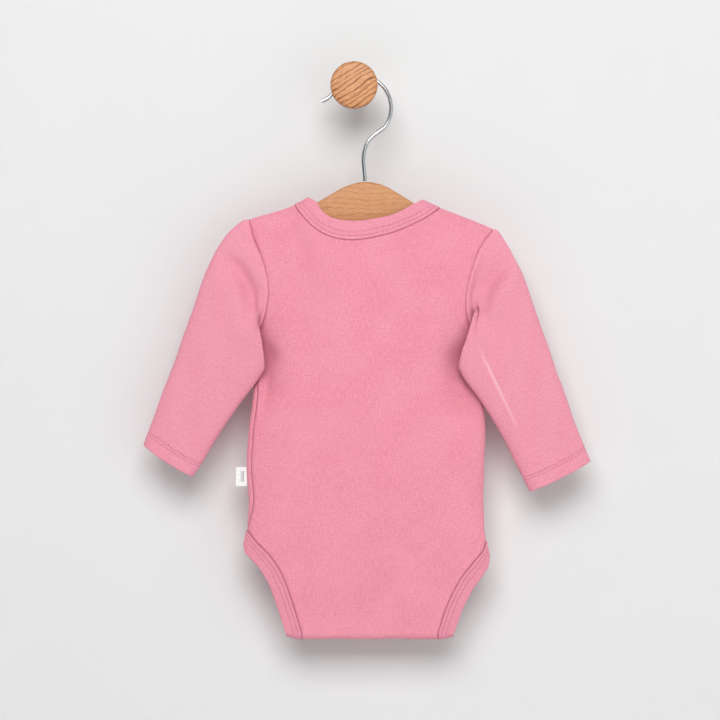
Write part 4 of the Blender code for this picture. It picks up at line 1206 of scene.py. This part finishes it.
def backdrop():
    """Pale matt wall and floor. From behind the wall the object can be seen and lit through it."""
    look = Look("backdrop", 0.92)
    look.shader.inputs["Specular IOR Level"].default_value = 0.15
    place = look.place()
    wall = rgb(WALL_TONE, WALL_TONE, WALL_TONE)
    color = look.layer(wall, look.noise(place, 6.0), (0.3, 0.7, 0.0, 1.0), shade(wall, 0.99, 0.99, 0.99))
    made = look.finish(color, look.noise(place, 900.0), 0.05, 0.0002)
    behind = look.add("NewGeometry", output="Backfacing")
    shadow = look.add("LightPath", output="Is Shadow Ray")
    clear = look.tree.nodes.new("ShaderNodeBsdfTransparent").outputs[0]
    hidden = look.math("MAXIMUM", behind, shadow)
    mixed = look.add("MixShader", {0: hidden, 1: look.shader.outputs[0], 2: clear})
    look.feed(look.tree.nodes["Material Output"].inputs["Surface"], mixed)
    return made


# ---- stage, light and camera ----
def build_stage(finish):
    """A wall behind the peg that sweeps round into a floor well below the garment."""
    profile = [(WALL_Y, WALL_TOP_Z)]
    for a in np.linspace(0, math.pi / 2, 24):
        profile.append((WALL_Y - WALL_SWEEP * (1 - math.cos(a)), FLOOR_Z + WALL_SWEEP * (1 - math.sin(a))))
    profile.append((FLOOR_END_Y, FLOOR_Z))
    points = [(x * MM, y * MM, z * MM) for x in (-WALL_HALF_WIDTH, WALL_HALF_WIDTH) for y, z in profile]
    count = len(profile)
    faces = [(k, k + 1, count + k + 1, count + k) for k in range(count - 1)]
    mesh = bpy.data.meshes.new("backdrop")
    mesh.from_pydata(points, [], faces)
    mesh.shade_smooth()
    mesh.materials.append(finish)
    floor = show("backdrop", mesh)
    mesh.update()
    if mesh.polygons[0].normal.y > 0:
        mesh.flip_normals()


def add_light(name, place, width, height, power, color):
    """A soft rectangular light that faces the garment."""
    light = bpy.data.lights.new(name, "AREA")
    light.shape, light.size, light.size_y = "RECTANGLE", width, height
    light.energy, light.color = power, color
    lamp = show(name, light)
    lamp.location = place
    lamp.rotation_euler = (Vector(LIGHT_TARGET) - Vector(place)).to_track_quat("-Z", "Y").to_euler()


def add_world():
    """Pale surroundings: brighter overhead than below, so that the wire has something to reflect."""
    world = bpy.data.worlds.new("surroundings")
    world.use_nodes = True
    tree = world.node_tree
    direction = tree.nodes.new("ShaderNodeTexCoord")
    parts = tree.nodes.new("ShaderNodeSeparateXYZ")
    ramp = tree.nodes.new("ShaderNodeValToRGB")
    share = tree.nodes.new("ShaderNodeMapRange")
    share.inputs[1].default_value, share.inputs[2].default_value = -1.0, 1.0
    tree.links.new(direction.outputs["Generated"], parts.inputs[0])
    tree.links.new(parts.outputs[2], share.inputs[0])
    tree.links.new(share.outputs[0], ramp.inputs[0])
    for place, tone in WORLD_STOPS:
        stop = ramp.color_ramp.elements.new(place)
        stop.color = (tone * 0.94, tone, tone * 0.98, 1)
    ramp.color_ramp.elements.remove(ramp.color_ramp.elements[0])
    ramp.color_ramp.elements.remove(ramp.color_ramp.elements[-1])
    tree.links.new(ramp.outputs[0], tree.nodes["Background"].inputs["Color"])
    tree.nodes["Background"].inputs["Strength"].default_value = WORLD_STRENGTH
    bpy.context.scene.world = world


def add_camera():
    """A long lens straight in front of the garment's back."""
    camera = bpy.data.cameras.new("camera")
    camera.sensor_width = 36.0
    camera.lens = camera.sensor_width * CAMERA_DISTANCE / VIEW_WIDTH
    holder = show("camera", camera)
    holder.location = Vector((VIEW_X, HANG_Y - CAMERA_DISTANCE, VIEW_Z)) * MM
    holder.rotation_euler = (math.pi / 2, 0, 0)
    bpy.context.scene.camera = holder


bpy.context.scene.view_settings.view_transform = "Standard"
body = knit("body_cotton", rgb(244, 157, 175), 0.7)
arms = knit("sleeve_cotton", rgb(243, 158, 177), 0.25, HEM_ROWS, "from_end")
bands = knit("binding_cotton", rgb(243, 157, 176), 0.2, BINDING_ROWS)
# painted highlight: the thread is set a lighter pink than the cloth, for light caught on the stitches
sewing = thread("sewing_thread", rgb(255, 190, 206))

back = build_panel("body_back", False, BACK_FOLDS, 11, body)
front = build_panel("body_front", True, FRONT_FOLDS, 23, body)
for name, node, sections, armhole, seed in (
    ("left_sleeve", "sleeve_left", SLEEVE_LEFT, ARMHOLE_LEFT, 31),
    ("right_sleeve", "sleeve_right", SLEEVE_RIGHT, ARMHOLE_RIGHT, 47),
):
    piece, lines = build_sleeve(name, node, sections, armhole, seed, arms)
    threads = build_threads(f"{name}_stitches", lines, sewing)
piece, lines = build_binding("neck_band", "neck_binding", neck_ring, 53, bands, True)
threads = build_threads("neck_stitches", lines, sewing)
for name, node, leg, cut, seed in (
    ("left_leg_band", "leg_binding_left", LEG_LEFT, LEG_CUT_LEFT, 61),
    ("right_leg_band", "leg_binding_right", LEG_RIGHT, LEG_CUT_RIGHT, 67),
):
    piece, lines = build_binding(name, node, partial(leg_strip, leg), seed, bands, False)
    threads = build_threads(f"{name}_stitches", lines, sewing)
label = build_label(label_tape())
build_snaps(press_stud())
oak_tones = rgb(224, 165, 116), rgb(196, 134, 88), rgb(128, 72, 36)
beech_tones = rgb(211, 153, 105), rgb(193, 132, 86), rgb(146, 88, 50)
build_hanger(wood("beech", beech_tones, turn=0.0, ring=5.0, grain=1.9, contrast=0.35, roughness=0.5))
build_hook(steel())
build_peg(wood("oak", oak_tones, turn=math.radians(33), ring=4.2, grain=1.2, contrast=1.0, roughness=0.48))

build_stage(backdrop())
for light in LIGHTS:
    add_light(*light)
add_world()
add_camera()
